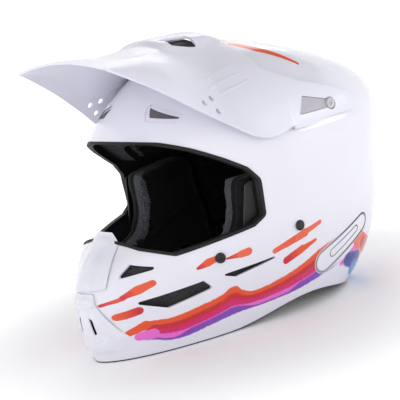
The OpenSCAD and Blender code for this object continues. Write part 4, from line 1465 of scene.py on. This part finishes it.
def lathe_cap(name, place, direction, profile, sides=40, socket=None):
    """A round head turned about an axis; profile rows (radius, height); socket (radius, depth) six-sided."""
    turn = Vector(direction).to_track_quat("Z", "Y").to_matrix()
    points, faces = [], []
    for r, h in profile:
        for t in np.arange(sides) * 2 * math.pi / sides:
            points.append(Vector(place) + turn @ Vector((r * math.cos(t), r * math.sin(t), h)))
    faces = grid_faces(len(profile), sides, wrap=True)
    faces += [tuple(range(sides))[::-1], tuple(range(len(points) - sides, len(points)))]
    piece = outward(make_piece(name, points, faces))
    if socket:
        face = Vector(place) + turn @ Vector((0, 0, profile[-1][1]))
        boolean(piece, [peg(face, direction, socket[0], socket[1], 3, sides=6)])
    return piece


def join(name, pieces):
    b = bmesh.new()
    for piece in pieces:
        b.from_mesh(piece.data)
    mesh = bpy.data.meshes.new(name)
    b.to_mesh(mesh)
    b.free()
    for piece in pieces:
        bpy.data.objects.remove(piece)
    made = bpy.data.objects.new(name, mesh)
    scene.collection.objects.link(made)
    return made


def make_dots():
    """The dark fixings on the shell: cheek plate screws in front, strap rivets behind."""
    head = [(2.0, -4.0), (2.0, 0.5), (5.0, 0.5), (5.0, 1.1), (4.75, 1.9), (4.1, 2.45), (3.1, 2.75),
            (1.6, 2.85)]
    for name, spot, turn, node, socket in (("cheek_plate_screws", CHEEK_SPOT, 35, "cheek_screws", (2.0, 1.6)),
                                           ("strap_rivet_heads", STRAP_SPOT, 0, "strap_rivets", None)):
        sides = []
        for sign in (1, -1):
            a = math.radians(turn)
            shank = [(2.0, -10.0)] + head[1:]
            direction = (sign * math.cos(a), -math.sin(a), 0)
            place = (sign * spot_place(spot), *spot)
            sides.append(lathe_cap("head", place, direction, shank, socket=socket))
        finish_piece(join(name, sides), moulded_black, node)


def make_stitches():
    unit = stitch_unit()
    thread = dark_solid("stitch_thread", (0.035, 0.035, 0.04), grain=1500, roughness=0.8)
    lines = []
    for side in (1, -1):
        run = smooth_line(strap_run(), 2)
        for across in (-9.5, 9.5):
            lines.append([(side * (p[0] - 1.1), STRAP_SPOT[0] + across, p[1]) for p in run])
    repeated("strap_stitches", lines, unit, 3.1, thread)
    bpy.data.objects.remove(unit)


make_camera()
make_studio()
make_shell()
make_neck_bead()
make_port_bead()
make_guard()
make_cover()
make_peak()
make_arm_inserts()
make_brow_inserts()
make_scoop_meshes()
make_impact_liner()
make_comfort_liner()
make_chin_foam()
make_cheek_pads()
make_neck_roll()
make_straps()
make_dots()
make_stitches()

# ---------------------------------------------------------------- carried-over nodes
FINISH = {
    "white_shell": shell_white,
    "white_peak": peak_white,
    "white_trim": trim_white,
    "black_rubber": edge_rubber,
    "liner_foam": foam_black,
    "liner_fabric": lining_black,
    "pad_fabric": roll_knit,
    "black_plastic": moulded_black,
    "vent_mesh": mesh_black, "grey_plastic": insert_grey, "webbing": moulded_black, "steel": zinc,
}
slots = {s["node"]: s["material_slot"] for s in frame["record"]["subparts"]}
for name, node in frame["nodes"].items():
    node.data.materials.clear()
    node.data.materials.append(brow_grey if name == "brow_vent_inserts" else FINISH[slots[name]])
